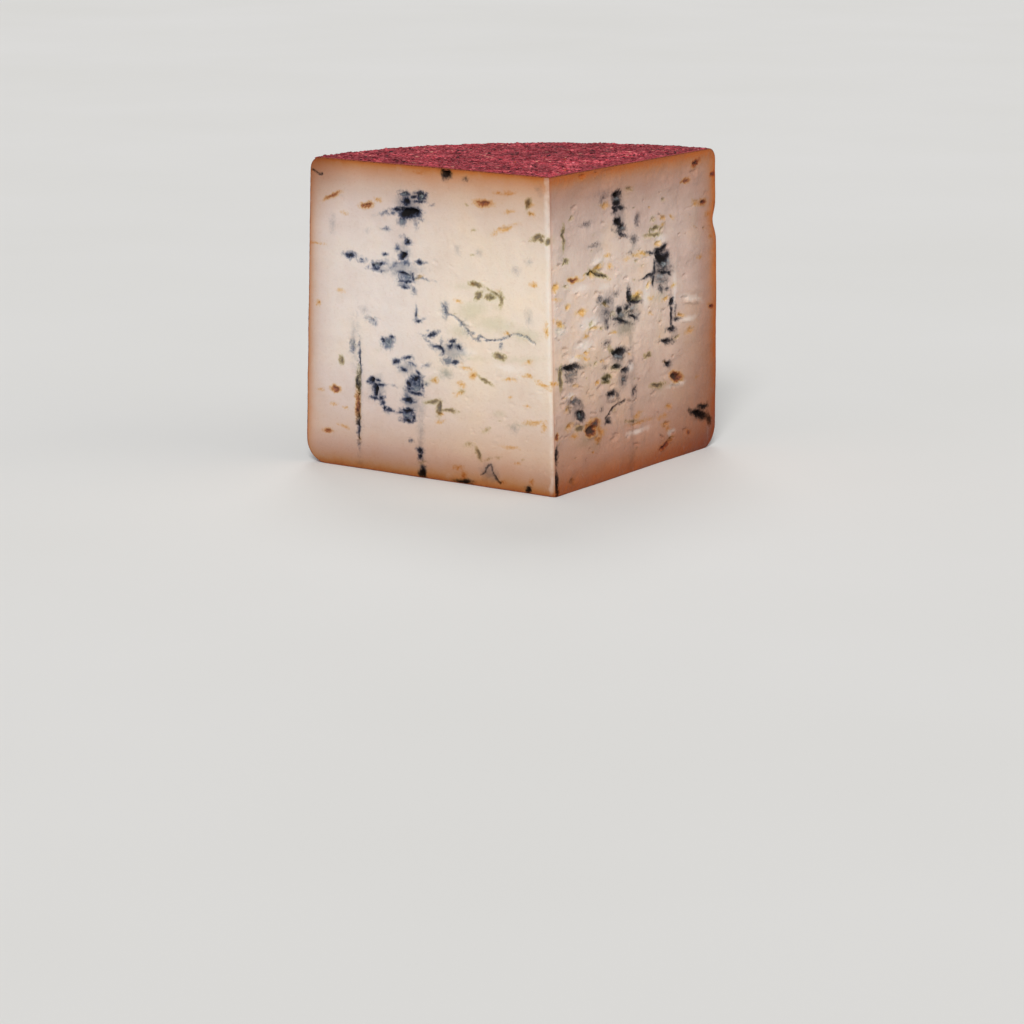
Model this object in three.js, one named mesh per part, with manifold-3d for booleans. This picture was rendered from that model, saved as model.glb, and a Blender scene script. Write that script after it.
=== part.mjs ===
// A quarter of a small wheel of blue cheese, standing on its base. Two upright knife cuts run from the middle of
// the wheel to its side and meet at a softened edge, the point of the wedge. The rind covers the top, the base and
// the round side at the back. Mould pockets and a needle hole are open where the knife went through them.
// Millimetres, +Z up. The point faces -Y, the rind +Y, and the origin is the middle of the base.

import * as THREE from "three";
import { mergeVertices } from "three/addons/utils/BufferGeometryUtils.js";
import Module from "manifold-3d";

const wasm = await Module();
wasm.setup();

// Driving dimensions of the wheel. It has slumped a little in ripening, so its base is wider than its top.
const HEIGHT = 120;
const BASE_RADIUS = 117;
const TOP_RADIUS = 113.5;
const BASE_SHOULDER = 9;
const TOP_SHOULDER = 5;

// The cuts. The knife leaned, so the point's upper end stands off the wheel's axis by this much.
const WEDGE_ANGLE = Math.PI / 2;
const POINT_SOFTENING = 2.5;
const POINT_LEAN = new THREE.Vector2(-3, -1.6);
const CUT_WAVE = 0.3;
const CUT_WAVE_LENGTH = 95;

// Slow swellings of the hand-turned side: their height, how many there are round it and the rise of one.
const SIDE_SWELLING = 0.7;
const SWELLINGS_ROUND = 5;
const SWELLING_RISE = 170;

// How finely the round forms and the cuts are faceted.
const WHEEL_SEGMENTS = 112;
const SHOULDER_SEGMENTS = 7;
const FLAT_STEP = 12;
const CUT_STEP = 9;
const POCKET_SEGMENTS = 10;
const CLEARANCE = 6;

// The wheel's axis lies this far in front of the origin, which puts the origin mid-way from the point to the back.
const AXIS_TO_MIDDLE = 58.6;

const LEFT = -1;
const RIGHT = 1;
const HALF_ANGLE = WEDGE_ANGLE / 2;

// The pockets that are open at each cut: how far from the point and above the base, then width, height and depth.
const POCKETS = [
  { cut: LEFT, along: 66, up: 102.3, wide: 13, high: 3.2, deep: 3 },
  { cut: LEFT, along: 67, up: 108.3, wide: 5, high: 3, deep: 1.5 },
  { cut: LEFT, along: 60, up: 108.5, wide: 5, high: 3.4, deep: 1.5 },
  { cut: LEFT, along: 69, up: 85.5, wide: 4, high: 3.6, deep: 2.5 },
  { cut: LEFT, along: 81, up: 80.3, wide: 6.5, high: 3, deep: 1.8 },
  { cut: LEFT, along: 67, up: 77.2, wide: 7, high: 3.2, deep: 1.5 },
  { cut: LEFT, along: 77.3, up: 51, wide: 6, high: 5, deep: 1.5 },
  { cut: LEFT, along: 83, up: 31.5, wide: 4.5, high: 7.5, deep: 3 },
  { cut: LEFT, along: 64, up: 36.5, wide: 8, high: 7, deep: 2 },
  { cut: LEFT, along: 67.5, up: 23.8, wide: 6.5, high: 4, deep: 1.8 },
  { cut: LEFT, along: 91, up: 36, wide: 1.6, high: 17, deep: 1.6 },
  { cut: LEFT, along: 91.5, up: 16, wide: 1.6, high: 10, deep: 1.6 },
  { cut: LEFT, along: 47.3, up: 118, wide: 4.4, high: 3.6, deep: 2.5 },
  { cut: RIGHT, along: 75, up: 81.5, wide: 11, high: 7, deep: 4 },
  { cut: RIGHT, along: 44.5, up: 108.8, wide: 5, high: 3, deep: 2.5 },
  { cut: RIGHT, along: 45.5, up: 98.5, wide: 8, high: 6, deep: 2.2 },
  { cut: RIGHT, along: 12, up: 47.3, wide: 10, high: 3, deep: 2.6 },
  { cut: RIGHT, along: 44.5, up: 48, wide: 8, high: 4.2, deep: 1.8 },
  { cut: RIGHT, along: 18.5, up: 28.5, wide: 5.5, high: 4.4, deep: 2.2 },
  { cut: RIGHT, along: 26, up: 21.5, wide: 9, high: 4, deep: 2.8 },
  { cut: RIGHT, along: 86, up: 32.5, wide: 6.5, high: 3, deep: 3 },
  { cut: RIGHT, along: 104, up: 14.5, wide: 10, high: 3, deep: 1.8 },
  { cut: RIGHT, along: 55, up: 66.8, wide: 7, high: 3.4, deep: 1.8 },
];

// The dent in the rind at the right cut's outer edge: its height, the size of the round thing that knocked it in
// there, across the edge, up it and away from the cut, and how far it went in.
const DENT = { up: 91.5, wide: 10, high: 14, deep: 8 };
const DENT_DEPTH = 2.4;

// ---- Solids from three.js geometry ----

// Merges a closed geometry's shared vertices and returns it as a solid that can be cut and joined.
function solidOf(geometry) {
  const bare = geometry.clone();
  bare.deleteAttribute("normal");
  bare.deleteAttribute("uv");
  const merged = mergeVertices(bare, 1e-4);
  return new wasm.Manifold(
    new wasm.Mesh({
      numProp: 3,
      vertProperties: new Float32Array(merged.attributes.position.array),
      triVerts: new Uint32Array(merged.index.array),
    }),
  );
}

// Turns a solid back into a three.js geometry with flat facets.
function geometryOf(solid) {
  const mesh = solid.getMesh();
  const geometry = new THREE.BufferGeometry();
  geometry.setAttribute("position", new THREE.BufferAttribute(mesh.vertProperties, mesh.numProp));
  geometry.setIndex(new THREE.BufferAttribute(mesh.triVerts, 1));
  const faceted = geometry.toNonIndexed();
  faceted.computeVertexNormals();
  return faceted;
}

// Moves every vertex of a geometry by a function that changes the vector it is given.
function reshape(geometry, move) {
  const position = geometry.attributes.position;
  const point = new THREE.Vector3();
  for (let i = 0; i < position.count; i++) {
    point.fromBufferAttribute(position, i);
    move(point);
    position.setXYZ(i, point.x, point.y, point.z);
  }
  return geometry;
}

// ---- The wheel ----

// Half the wheel's section, from the middle of the base out along it, up the side and back along the top.
function wheelProfile() {
  const sideLean = Math.atan2(BASE_RADIUS - TOP_RADIUS, HEIGHT);
  const flat = (from, to, z) => {
    const steps = Math.round(Math.abs(to - from) / FLAT_STEP);
    return Array.from({ length: steps }, (_, i) => new THREE.Vector2(from + ((to - from) * i) / steps, z));
  };
  const shoulder = (radius, size, z, start, end) =>
    Array.from({ length: SHOULDER_SEGMENTS + 1 }, (_, i) => {
      const turn = start + ((end - start) * i) / SHOULDER_SEGMENTS;
      return new THREE.Vector2(radius - size + size * Math.cos(turn), z + size * Math.sin(turn));
    });
  const base = shoulder(BASE_RADIUS, BASE_SHOULDER, BASE_SHOULDER, -Math.PI / 2, sideLean);
  const top = shoulder(TOP_RADIUS, TOP_SHOULDER, HEIGHT - TOP_SHOULDER, sideLean, Math.PI / 2);
  const foot = base[base.length - 1];
  const head = top[0];
  const steps = Math.round((head.y - foot.y) / FLAT_STEP);
  const side = Array.from({ length: steps - 1 }, (_, i) => foot.clone().lerp(head, (i + 1) / steps));
  return [
    ...flat(0, BASE_RADIUS - BASE_SHOULDER, 0),
    ...base,
    ...side,
    ...top,
    ...flat(0, TOP_RADIUS - TOP_SHOULDER, HEIGHT).slice(1).reverse(),
    new THREE.Vector2(0, HEIGHT),
  ];
}

// How far the side swells at an angle from the middle of the wedge and at a height.
function swelling(angle, z) {
  const round = Math.sin(SWELLINGS_ROUND * angle + 0.8);
  return SIDE_SWELLING * round * Math.cos((2 * Math.PI * z) / SWELLING_RISE);
}

function makeWheel() {
  const lathe = new THREE.LatheGeometry(wheelProfile(), WHEEL_SEGMENTS);
  lathe.rotateX(Math.PI / 2);
  return solidOf(
    reshape(lathe, (p) => {
      const radius = Math.hypot(p.x, p.y);
      const share = THREE.MathUtils.smoothstep(radius, BASE_RADIUS * 0.7, BASE_RADIUS);
      const grown = radius + share * swelling(Math.atan2(p.x, p.y), p.z);
      if (radius > 0) p.set((p.x * grown) / radius, (p.y * grown) / radius, p.z);
    }),
  );
}

// ---- The two cuts ----

// A point on a cut's plane, at a distance from the point edge and a height, moved as the knife leaned.
function onCut(cut, along, up) {
  const share = (up / HEIGHT) * (1 - along / BASE_RADIUS);
  return new THREE.Vector3(
    cut * Math.sin(HALF_ANGLE) * along + POINT_LEAN.x * share,
    Math.cos(HALF_ANGLE) * along + POINT_LEAN.y * share,
    up,
  );
}

// The plan of the quarter: up one cut, round the softened point and out along the other cut.
function wedgePlan() {
  const reach = BASE_RADIUS + CLEARANCE;
  const steps = Math.round(reach / CUT_STEP);
  const plan = new THREE.Shape();
  for (let i = 0; i < steps; i++) {
    const along = reach + ((POINT_SOFTENING - reach) * i) / steps;
    const x = Math.sin(HALF_ANGLE) * along;
    const y = Math.cos(HALF_ANGLE) * along;
    if (i === 0) plan.moveTo(x, y);
    else plan.lineTo(x, y);
  }
  const centreY = POINT_SOFTENING / Math.sin(HALF_ANGLE);
  plan.absarc(0, centreY, POINT_SOFTENING, HALF_ANGLE - Math.PI / 2, -Math.PI / 2 - HALF_ANGLE, true);
  for (let i = 1; i <= steps; i++) {
    const along = POINT_SOFTENING + ((reach - POINT_SOFTENING) * i) / steps;
    plan.lineTo(-Math.sin(HALF_ANGLE) * along, Math.cos(HALF_ANGLE) * along);
  }
  plan.lineTo(0, 2 * reach);
  return plan;
}

// The block that the cuts leave of the wheel, with the knife's lean and its slow waver.
function makeCutter() {
  const steps = Math.round(HEIGHT / CUT_STEP);
  const block = new THREE.ExtrudeGeometry(wedgePlan(), {
    depth: HEIGHT + 2 * CLEARANCE,
    steps,
    curveSegments: 5,
    bevelEnabled: false,
  });
  block.translate(0, 0, -CLEARANCE);
  return solidOf(
    reshape(block, (p) => {
      const along = Math.hypot(p.x, p.y);
      const share = (p.z / HEIGHT) * Math.max(0, 1 - along / BASE_RADIUS);
      const waver = CUT_WAVE * Math.sin((2 * Math.PI * (along + 0.6 * p.z)) / CUT_WAVE_LENGTH);
      p.x += POINT_LEAN.x * share;
      p.y += POINT_LEAN.y * share - waver;
    }),
  );
}

// ---- Pockets and the dent ----

// An egg-shaped hollow centred on a cut, turned to lie along it.
function hollow(cut, { along, up, wide, high, deep }) {
  const egg = new THREE.SphereGeometry(1, POCKET_SEGMENTS, POCKET_SEGMENTS - 3);
  egg.scale(wide / 2, deep, high / 2);
  egg.rotateZ(cut * (Math.PI / 2 - HALF_ANGLE));
  const place = onCut(cut, along, up);
  egg.translate(place.x, place.y, place.z);
  return solidOf(egg);
}

function makeWedge() {
  let wedge = makeWheel().intersect(makeCutter());
  for (const pocket of POCKETS) wedge = wedge.subtract(hollow(pocket.cut, pocket));
  const edge = BASE_RADIUS + ((TOP_RADIUS - BASE_RADIUS) * DENT.up) / HEIGHT;
  const knock = { ...DENT, along: edge + DENT.wide / 2 - DENT_DEPTH };
  return wedge.subtract(hollow(RIGHT, knock));
}

// ---- The part ----

const cheese = new THREE.Mesh(
  geometryOf(makeWedge()),
  new THREE.MeshStandardMaterial({ color: 0xe3cdb4, roughness: 0.55, metalness: 0 }),
);
cheese.name = "cheese_wedge";
cheese.position.y = -AXIS_TO_MIDDLE;

const part = new THREE.Group();
part.add(cheese);

export default part;
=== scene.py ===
import math

import bpy
import numpy as np
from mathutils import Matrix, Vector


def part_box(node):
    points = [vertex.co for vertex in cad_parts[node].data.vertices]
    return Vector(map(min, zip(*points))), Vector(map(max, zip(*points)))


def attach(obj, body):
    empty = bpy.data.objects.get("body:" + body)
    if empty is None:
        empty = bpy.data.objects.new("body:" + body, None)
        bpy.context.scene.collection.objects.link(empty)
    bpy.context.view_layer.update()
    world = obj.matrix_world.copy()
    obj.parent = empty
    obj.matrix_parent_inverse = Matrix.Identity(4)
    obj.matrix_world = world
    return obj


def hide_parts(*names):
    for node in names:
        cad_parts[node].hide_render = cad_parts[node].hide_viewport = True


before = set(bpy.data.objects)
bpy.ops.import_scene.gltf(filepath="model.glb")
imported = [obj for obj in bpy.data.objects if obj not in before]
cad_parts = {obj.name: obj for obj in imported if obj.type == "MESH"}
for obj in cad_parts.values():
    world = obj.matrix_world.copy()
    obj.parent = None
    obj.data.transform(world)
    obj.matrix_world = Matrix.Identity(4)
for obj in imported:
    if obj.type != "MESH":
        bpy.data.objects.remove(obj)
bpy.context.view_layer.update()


# ---- The paste ----
# The body of the wedge is one block of soft blue cheese, a quarter of a wheel that was cut with two strokes of
# a knife. Blue mould grew in its pockets, cracks and needle holes, and the paste browned towards the rind.

MM = 0.001
low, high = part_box("cheese_wedge")
HEIGHT = (high.z - low.z) / MM
HALF_TURN = math.radians(45)
BASE_RADIUS = (high.x - low.x) / 2 / math.sin(HALF_TURN) / MM
TOP_RADIUS = 0.97 * BASE_RADIUS
BASE_SHOULDER = 0.077 * BASE_RADIUS
TOP_SHOULDER = 0.043 * BASE_RADIUS
SIDE_LEAN = math.atan2(BASE_RADIUS - TOP_RADIUS, HEIGHT)

# The knife leaned, so the point's upper end stands off the axis, and its edge is softened all the way up.
POINT_SOFTENING = 1.1
POINT_LEAN = (-3.04, -1.56)
POINT_OVERHANG = 0.26
AXIS_Y = low.y / MM + POINT_OVERHANG

# The hand-turned side swells a little here and there, and is dented beside the right cut.
SIDE_SWELLING = 0.6
SWELLINGS_ROUND = 5
SWELLING_RISE = 170
DENT_HEIGHT = 91.5
DENT_SIZE = 4.5
DENT_DEPTH = 2.6

LEFT = -1
RIGHT = 1


def smooth(value, start, end):
    """0 below start, 1 above end, and 3t^2 - 2t^3 between them."""
    t = np.clip((value - start) / (end - start), 0, 1)
    return t * t * (3 - 2 * t)


def unevenness(points, size, seed):
    """Smooth random relief, mostly between -1 and 1: each corner of a cubic lattice of the given size has a
    random slope, and a point blends the eight slopes around it by 6t^5 - 15t^4 + 10t^3."""
    cells = 32
    slopes = np.random.default_rng(seed).normal(size=(cells, cells, cells, 3))
    slopes /= np.linalg.norm(slopes, axis=-1, keepdims=True)
    scaled = points / size + 100
    corner = np.floor(scaled).astype(int)
    offset = scaled - corner
    fade = offset**3 * (offset * (offset * 6 - 15) + 10)
    total = np.zeros(points.shape[:-1])
    for step in np.ndindex(2, 2, 2):
        at = (corner + step) % cells
        slope = slopes[at[..., 0], at[..., 1], at[..., 2]]
        weight = np.prod(np.where(np.array(step) == 1, fade, 1 - fade), axis=-1)
        total += weight * np.sum(slope * (offset - step), axis=-1)
    return 1.8 * total


def layered(points, layers, start=0):
    """A value with several random reliefs added to it, each given by its reach in millimetres, size and seed."""
    return sum((reach * unevenness(points, size, seed) for reach, size, seed in layers), start)


def wheel_section(inset, base_steps, foot_steps, side_steps, crown_steps, top_steps):
    """Half the wheel's outline, from the middle of the base out, up the side and in to the middle of the top,
    at a depth inside its surface: straight runs joined by circular shoulders. Gives radii, heights and the
    angle of the outward normal above the horizontal."""
    down = -math.pi / 2
    foot_turn = np.linspace(down, SIDE_LEAN, foot_steps + 1)
    crown_turn = np.linspace(SIDE_LEAN, math.pi / 2, crown_steps + 1)
    foot_r = BASE_RADIUS - BASE_SHOULDER + (BASE_SHOULDER - inset) * np.cos(foot_turn)
    foot_z = BASE_SHOULDER + (BASE_SHOULDER - inset) * np.sin(foot_turn)
    crown_r = TOP_RADIUS - TOP_SHOULDER + (TOP_SHOULDER - inset) * np.cos(crown_turn)
    crown_z = HEIGHT - TOP_SHOULDER + (TOP_SHOULDER - inset) * np.sin(crown_turn)
    side = np.linspace(0, 1, side_steps + 1)[1:-1]
    side_r = foot_r[-1] + side * (crown_r[0] - foot_r[-1])
    side_z = foot_z[-1] + side * (crown_z[0] - foot_z[-1])
    base_r = np.linspace(0, foot_r[0], base_steps + 1)[:-1]
    top_r = np.linspace(crown_r[-1], 0, top_steps + 1)[1:]
    radius = np.concatenate([base_r, foot_r, side_r, crown_r, top_r])
    height = np.concatenate([0 * base_r + inset, foot_z, side_z, crown_z, 0 * top_r + HEIGHT - inset])
    level_base, level_top = 0 * base_r + down, 0 * top_r - down
    normal = np.concatenate([level_base, foot_turn, 0 * side_r + SIDE_LEAN, crown_turn, level_top])
    return radius, height, normal


def in_wedge(radius, turn, up):
    """The place of a point given by its distance from the axis, its turn from the wedge's middle and its
    height. Inside the softening, circles round the axis become arcs that end on the rounded point; the point's
    upper end leans, and towards the side the swelling and the dent move it in or out."""
    rim = smooth(radius, 0.8 * BASE_RADIUS, 0.97 * BASE_RADIUS)
    swell = SIDE_SWELLING * np.sin(SWELLINGS_ROUND * turn + 0.8) * np.cos(2 * math.pi * up / SWELLING_RISE)
    to_dent = ((up - DENT_HEIGHT) / DENT_SIZE) ** 2 + ((turn - HALF_TURN) * BASE_RADIUS / DENT_SIZE) ** 2
    grown = radius + rim * (swell - DENT_DEPTH * np.exp(-to_dent))
    corner = np.clip(radius / POINT_SOFTENING, 0, 1) * HALF_TURN
    near_x = POINT_SOFTENING * np.sin(corner) * np.sin(turn) / math.sin(HALF_TURN)
    near_y = POINT_SOFTENING * (math.sqrt(2) - np.cos(corner)) + radius * (np.cos(turn) - math.cos(HALF_TURN))
    near = radius < POINT_SOFTENING
    lean = up / HEIGHT * np.clip(1 - radius / BASE_RADIUS, 0, 1)
    x = np.where(near, near_x, grown * np.sin(turn)) + POINT_LEAN[0] * lean
    y = np.where(near, near_y, grown * np.cos(turn)) + POINT_LEAN[1] * lean + AXIS_Y
    return np.stack(np.broadcast_arrays(x, y, up), axis=-1)


def out_of_cut(across):
    """The way out of a cut at a distance from the point edge, below zero on the left cut and above on the
    right. Round the softened point it turns evenly from one cut's to the other's."""
    facing = np.clip(np.abs(across) / POINT_SOFTENING, 0, 1) * HALF_TURN
    return np.stack([np.sign(across) * np.sin(facing), -np.cos(facing), 0 * facing], axis=-1)


KNIFE_DRIFTS = ((0.4, 46, 3), (0.12, 15, 4))


def knife_waver(across, up):
    """How far the knife strayed out of each cut, in millimetres: two sizes of random drift."""
    flat = np.stack([across, up, 0 * up + 7], axis=-1)
    return layered(flat, KNIFE_DRIFTS)


# Marks on the cuts, each as its distance from the point edge, its height, its length, how tall it is and,
# where it slopes, by how many degrees it climbs away from the point edge. Dark blue mould in open pockets:
MOULD = {
    LEFT: [
        (65.6, 102.2, 11, 3.6), (67.4, 101.6, 7, 4.2), (71.8, 102.4, 4, 1.2), (66.6, 105.8, 3.4, 3.2),
        (59.6, 108.6, 4.2, 3.2), (67.6, 108.9, 4.2, 1.8),
        (63.4, 108.2, 2.4, 1.4), (60.2, 106.7, 4, 0.8), (60.6, 109.9, 3.6, 0.7), (66.5, 90.6, 3, 2.2),
        (69.2, 85.3, 3.6, 2.6, -15), (81.8, 79, 4, 1.2), (83.4, 80.4, 1.2, 2.4), (79, 81, 3, 1.2, -25),
        (94.4, 83.5, 4.6, 1.6), (60.8, 83.6, 3, 1.2), (77.5, 85, 1.6, 0.8), (68.6, 78.5, 5, 1.2, 8),
        (64, 77.6, 1.4, 2.2), (67, 75.7, 5, 0.9), (68, 73.6, 3, 0.9),
        (47.4, 118.1, 4.2, 3.4), (78.9, 51.8, 1.2, 1.8),
        (75, 53.2, 1.6, 1), (73, 44, 3, 2, -25), (67.6, 46, 3.6, 1.3, -12), (69.2, 41.4, 2.6, 1.2, 10),
        (64, 38.4, 5.4, 1.6, -15), (62.4, 40.6, 1.8, 1.8), (67, 36.4, 2.4, 2.2), (67.2, 34.6, 2.4, 1.2),
        (60.4, 36, 1.4, 3), (63.6, 33, 5.4, 1.2, 6), (84.8, 35.6, 3.4, 3),
        (83, 31.8, 3, 4.4), (81.6, 36, 1.6, 1),
        (80.4, 34.2, 3, 0.7, -12), (86.6, 35, 1.6, 0.8), (83.5, 28.8, 3, 1.4), (80.2, 29, 2.6, 2.2),
        (79.4, 27.4, 1.6, 1.2), (78.4, 25.4, 1.4, 1.4), (76.6, 24.6, 3, 1), (67.4, 29.4, 4.4, 2.2),
        (67.8, 25.4, 4.6, 2), (67.6, 21.8, 5, 1.3), (64.8, 23.4, 1.4, 2),
        (71, 24.2, 2.6, 1), (62, 10.5, 2.8, 2),
        (61.8, 8.5, 2, 2), (61, 2, 3, 4.5), (42, 0.8, 6, 1.6),
        (12.3, 1.6, 2.6, 2.4, -30), (55.5, 56.2, 4, 1.4, -22),
        (54.6, 52.2, 3, 0.8), (52, 51.6, 3, 1.4, 30), (50.8, 50.4, 1, 2),
        (46, 54.9, 3, 1.2, -12), (46.8, 52.8, 2, 1.4),
        (43, 52.4, 2.4, 1.4), (45, 46.7, 3, 1, -10), (63, 63.6, 0.8, 3), (62, 61.2, 2.4, 0.7, -10),
        (90.4, 43, 0.9, 8), (91.5, 16.6, 1.2, 8.5), (38.2, 58.6, 1.2, 0.5, 50), (28.4, 56.9, 3, 0.4, -8),
    ],
    RIGHT: [
        (44, 108.9, 5, 3), (43.6, 106, 4.6, 3), (42.4, 103.6, 4, 1.8, 30), (46, 103.8, 5, 1.3, -12),
        (43.6, 98.8, 4, 3.6), (45.6, 96.6, 4.4, 2.6), (47, 93.6, 6.5, 1.3, -18), (73.4, 83.6, 8, 2.6, -8),
        (75.6, 85.2, 4, 2), (74.6, 80.6, 8, 4), (78.4, 81.4, 2.6, 2.4), (76.8, 75.2, 7.4, 1.3, -8),
        (80, 74.4, 2.6, 1.2, -30), (67.4, 75.8, 5, 1.4, 12), (64.2, 75.2, 6, 0.9, 6), (68.6, 73.4, 1.6, 4.4),
        (69.4, 78, 1.4, 4), (66, 84, 4, 0.7, -12), (51.6, 69, 2.6, 7), (55.4, 66.4, 7, 1.4, -5),
        (54.4, 60.9, 5.4, 1.4, -22), (45.8, 60.6, 10, 1.1, -17), (44.6, 64.8, 3.6, 2.8), (49.8, 65, 3, 1.6),
        (12, 47.5, 11, 1.9, -5), (44.6, 48.6, 9, 3.2), (43, 43.1, 3.8, 1.2),
        (47.6, 41, 4, 1.8), (40.2, 33.2, 5.4, 1.7),
        (18, 28.4, 6, 3.6, -20), (37, 22.4, 3, 1.2), (79, 47.8, 7, 1.5, -12),
        (82.4, 52, 4, 1.8), (82.4, 63.2, 2.8, 2.6),
        (82.3, 58, 0.8, 9), (79.8, 38.7, 4.2, 2, -10), (103.5, 14.8, 13, 2.4, -18), (106.3, 17.4, 6, 1.8, -5),
        (1.7, 15.6, 2, 5), (0.9, 5, 2, 8), (86, 55.4, 3.4, 1.2, -10),
    ],
}
# Blue-grey mould, thinner or younger:
SLATE = {
    LEFT: [
        (67.4, 108.6, 5.6, 3), (60, 108.4, 6, 4.6), (66.6, 105.4, 4.6, 3.6), (68.8, 98.6, 4.4, 4.4),
        (62, 98.6, 1.4, 3.4), (60.6, 99.8, 3, 0.9), (77.6, 101, 5, 1, -18),
        (74, 101, 4, 1), (76.5, 94.8, 3.4, 1.2),
        (71.2, 88, 2.4, 2.6, 40), (68, 82.6, 5.6, 3), (73, 81, 5, 1.2, -35), (88.6, 82, 3.6, 1.8),
        (81.6, 80.4, 5.4, 3.4), (78.6, 81.4, 4, 1.8, -22), (67.4, 77.4, 8, 4),
        (70, 74, 2, 1.4), (67.8, 74.4, 4.6, 2),
        (60, 77.4, 7, 0.9, 3), (63.5, 72.4, 2, 2), (84.6, 59.2, 4, 1.8, 12),
        (83.2, 57.8, 2.2, 1.8), (77, 51, 6, 5),
        (94, 47.6, 2.6, 3.6), (93.2, 49.6, 1.6, 2), (70, 41.4, 3.6, 1.4, 12), (65.6, 43.6, 3, 1.2),
        (64.2, 36.6, 8.4, 7.4), (74.2, 34.4, 2, 1), (67.6, 30.6, 4, 3.4),
        (67.6, 24, 6.4, 5), (72, 24, 3, 1.2),
        (66, 14, 2, 1.5), (63, 63.6, 1.2, 3), (61, 61.6, 3, 0.9, -20),
        (59.4, 62.2, 1.4, 1), (58.6, 55.4, 4, 1, 6),
        (57.4, 53.8, 3.4, 0.9, 28), (51.2, 53.4, 1.2, 2.4), (47, 53, 3, 2.4), (48.6, 47, 5.4, 3),
        (58.6, 44, 3, 1, -20), (49, 66, 2.6, 5), (41.3, 61.6, 2, 1.4), (35, 56.3, 3, 1), (23.5, 55, 1.6, 1.4),
        (38.5, 116.5, 2.2, 1.4), (90.4, 42.6, 1.4, 9), (91.2, 34, 1.5, 8),
    ],
    RIGHT: [
        (43.8, 107.4, 6.4, 5.4), (46.6, 95.2, 7, 4.6), (43.6, 100, 3, 2.4),
        (75, 79, 10, 6), (76.4, 76.6, 10, 3),
        (74, 72.6, 10, 2, -15), (74.6, 69, 4, 3.4), (79, 68.6, 4, 2.2),
        (86.4, 55.3, 4, 1), (85, 59.6, 1.4, 4),
        (46, 62.6, 7, 3), (50.6, 66, 6, 3), (54, 63, 6, 2), (9, 45, 4.4, 1.1, -55), (12.3, 42.8, 5, 1.3),
        (15.8, 45, 3, 1, 45), (44.6, 47.6, 9.6, 5), (52, 43.5, 2, 2), (36, 39.8, 5, 3), (36.4, 44, 3, 1.4),
        (48, 37.4, 4.6, 3.6), (14.4, 34.2, 9, 3, -8), (11, 31.8, 3, 3),
        (19.4, 32.4, 3, 1.4, -45), (33, 28, 2.4, 1.8),
        (38, 32, 1.4, 2.2), (43.6, 32.2, 2, 1.6, -30), (40.6, 30.2, 5.6, 0.8), (56, 31.6, 4, 4.6),
        (111, 11.5, 5, 3.6, -60), (37, 23.6, 3, 3), (32, 70.6, 4, 3),
        (42.5, 71.3, 3.4, 1.6), (36.4, 69, 7, 2.4),
        (36, 65, 5, 3), (35.8, 62, 3, 3.4), (36, 59.6, 2, 1.8), (36.5, 53.2, 4.4, 2), (28.5, 91.5, 5.6, 1.3),
        (23, 100, 5, 1.6), (57.5, 97.8, 3, 4.6), (55.5, 90.6, 5, 3),
        (35.4, 108.6, 5, 1.8, 15), (53, 86, 2, 1.4),
    ],
}
# Pale grey-blue bloom that fills the middle of the oldest pockets:
BLOOM = {
    LEFT: [
        (59.4, 108.4, 2.4, 2.2), (68, 108.8, 3, 1.4), (69, 98, 2.6, 2.4),
        (82, 81, 2, 1.8), (66.4, 77.6, 4, 0.9),
        (67.6, 76.6, 4, 0.7), (76.6, 50.8, 4, 3.4), (63.6, 34.8, 3.4, 1.8),
        (64.2, 40, 2, 0.8), (67.6, 23.6, 4, 0.9),
        (67, 28, 3, 0.8), (48.6, 47, 3, 1.4),
    ],
    RIGHT: [
        (47.4, 95.4, 4, 1.4), (75.6, 78, 5, 2.6), (73.6, 74, 6, 2), (79.4, 79, 2.4, 3), (74, 71.6, 6, 1),
        (44, 46.6, 5, 1.4), (12.4, 44.8, 5, 2), (48, 37.6, 2.4, 1.4),
        (40.6, 31.4, 4.6, 1), (14.5, 34.4, 4, 1.2),
        (18.3, 28, 3, 1.4), (43.6, 107.2, 3, 1.2), (54, 64.4, 5, 2), (46.6, 62.8, 5, 1.4),
    ],
}
# Mould that hasn't broken through, seen as grey stains:
SMUDGE = {
    LEFT: [
        (66, 104, 13, 11), (70, 80, 20, 6), (68, 87, 6, 7), (102.5, 95, 2.4, 5), (85.5, 93.5, 1.6, 1.4),
        (88, 62.6, 3, 2.4), (46, 51, 13, 8), (68, 42, 10, 6), (66, 30, 9, 16),
        (82, 33, 8, 10), (93, 50, 3, 14),
        (61.5, 26, 3, 10), (61.6, 12, 3, 24), (43, 90, 2.4, 2.4),
        (33, 89.6, 2.4, 2), (15.8, 84.5, 2.8, 3, -20),
        (10, 88, 2, 1.5), (10.3, 67.5, 3, 5), (4.6, 115, 1.8, 3, -30), (49, 66.5, 3, 6), (39.5, 60, 2.6, 4),
        (18, 24.3, 3, 2.6), (30, 6, 8, 7), (49, 42, 5.5, 3.4),
        (57.5, 43.8, 3.4, 1), (91, 30, 2.6, 40), (64, 72.6, 2, 2.2),
    ],
    RIGHT: [
        (35, 110.5, 8, 2), (45, 102, 8, 16), (57.5, 97.8, 3.4, 5), (55.5, 89, 4.6, 7), (32, 89.5, 3.6, 1.6),
        (7, 88.8, 4, 2.4), (75, 76, 14, 16), (36, 66, 12, 14), (45, 62, 12, 9), (50, 57.5, 12, 8),
        (53.5, 52.5, 3, 8), (44, 46, 11, 9), (53.5, 38, 5, 3), (47, 38, 9, 9),
        (54, 30, 2, 52), (53, 5, 3, 10),
        (16, 31, 9, 9), (12, 45, 11, 7), (57, 61, 6, 6), (82.5, 58, 3, 12), (104, 15, 14, 6), (84, 50, 5, 6),
        (5, 43.5, 2, 7),
    ],
}
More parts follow.
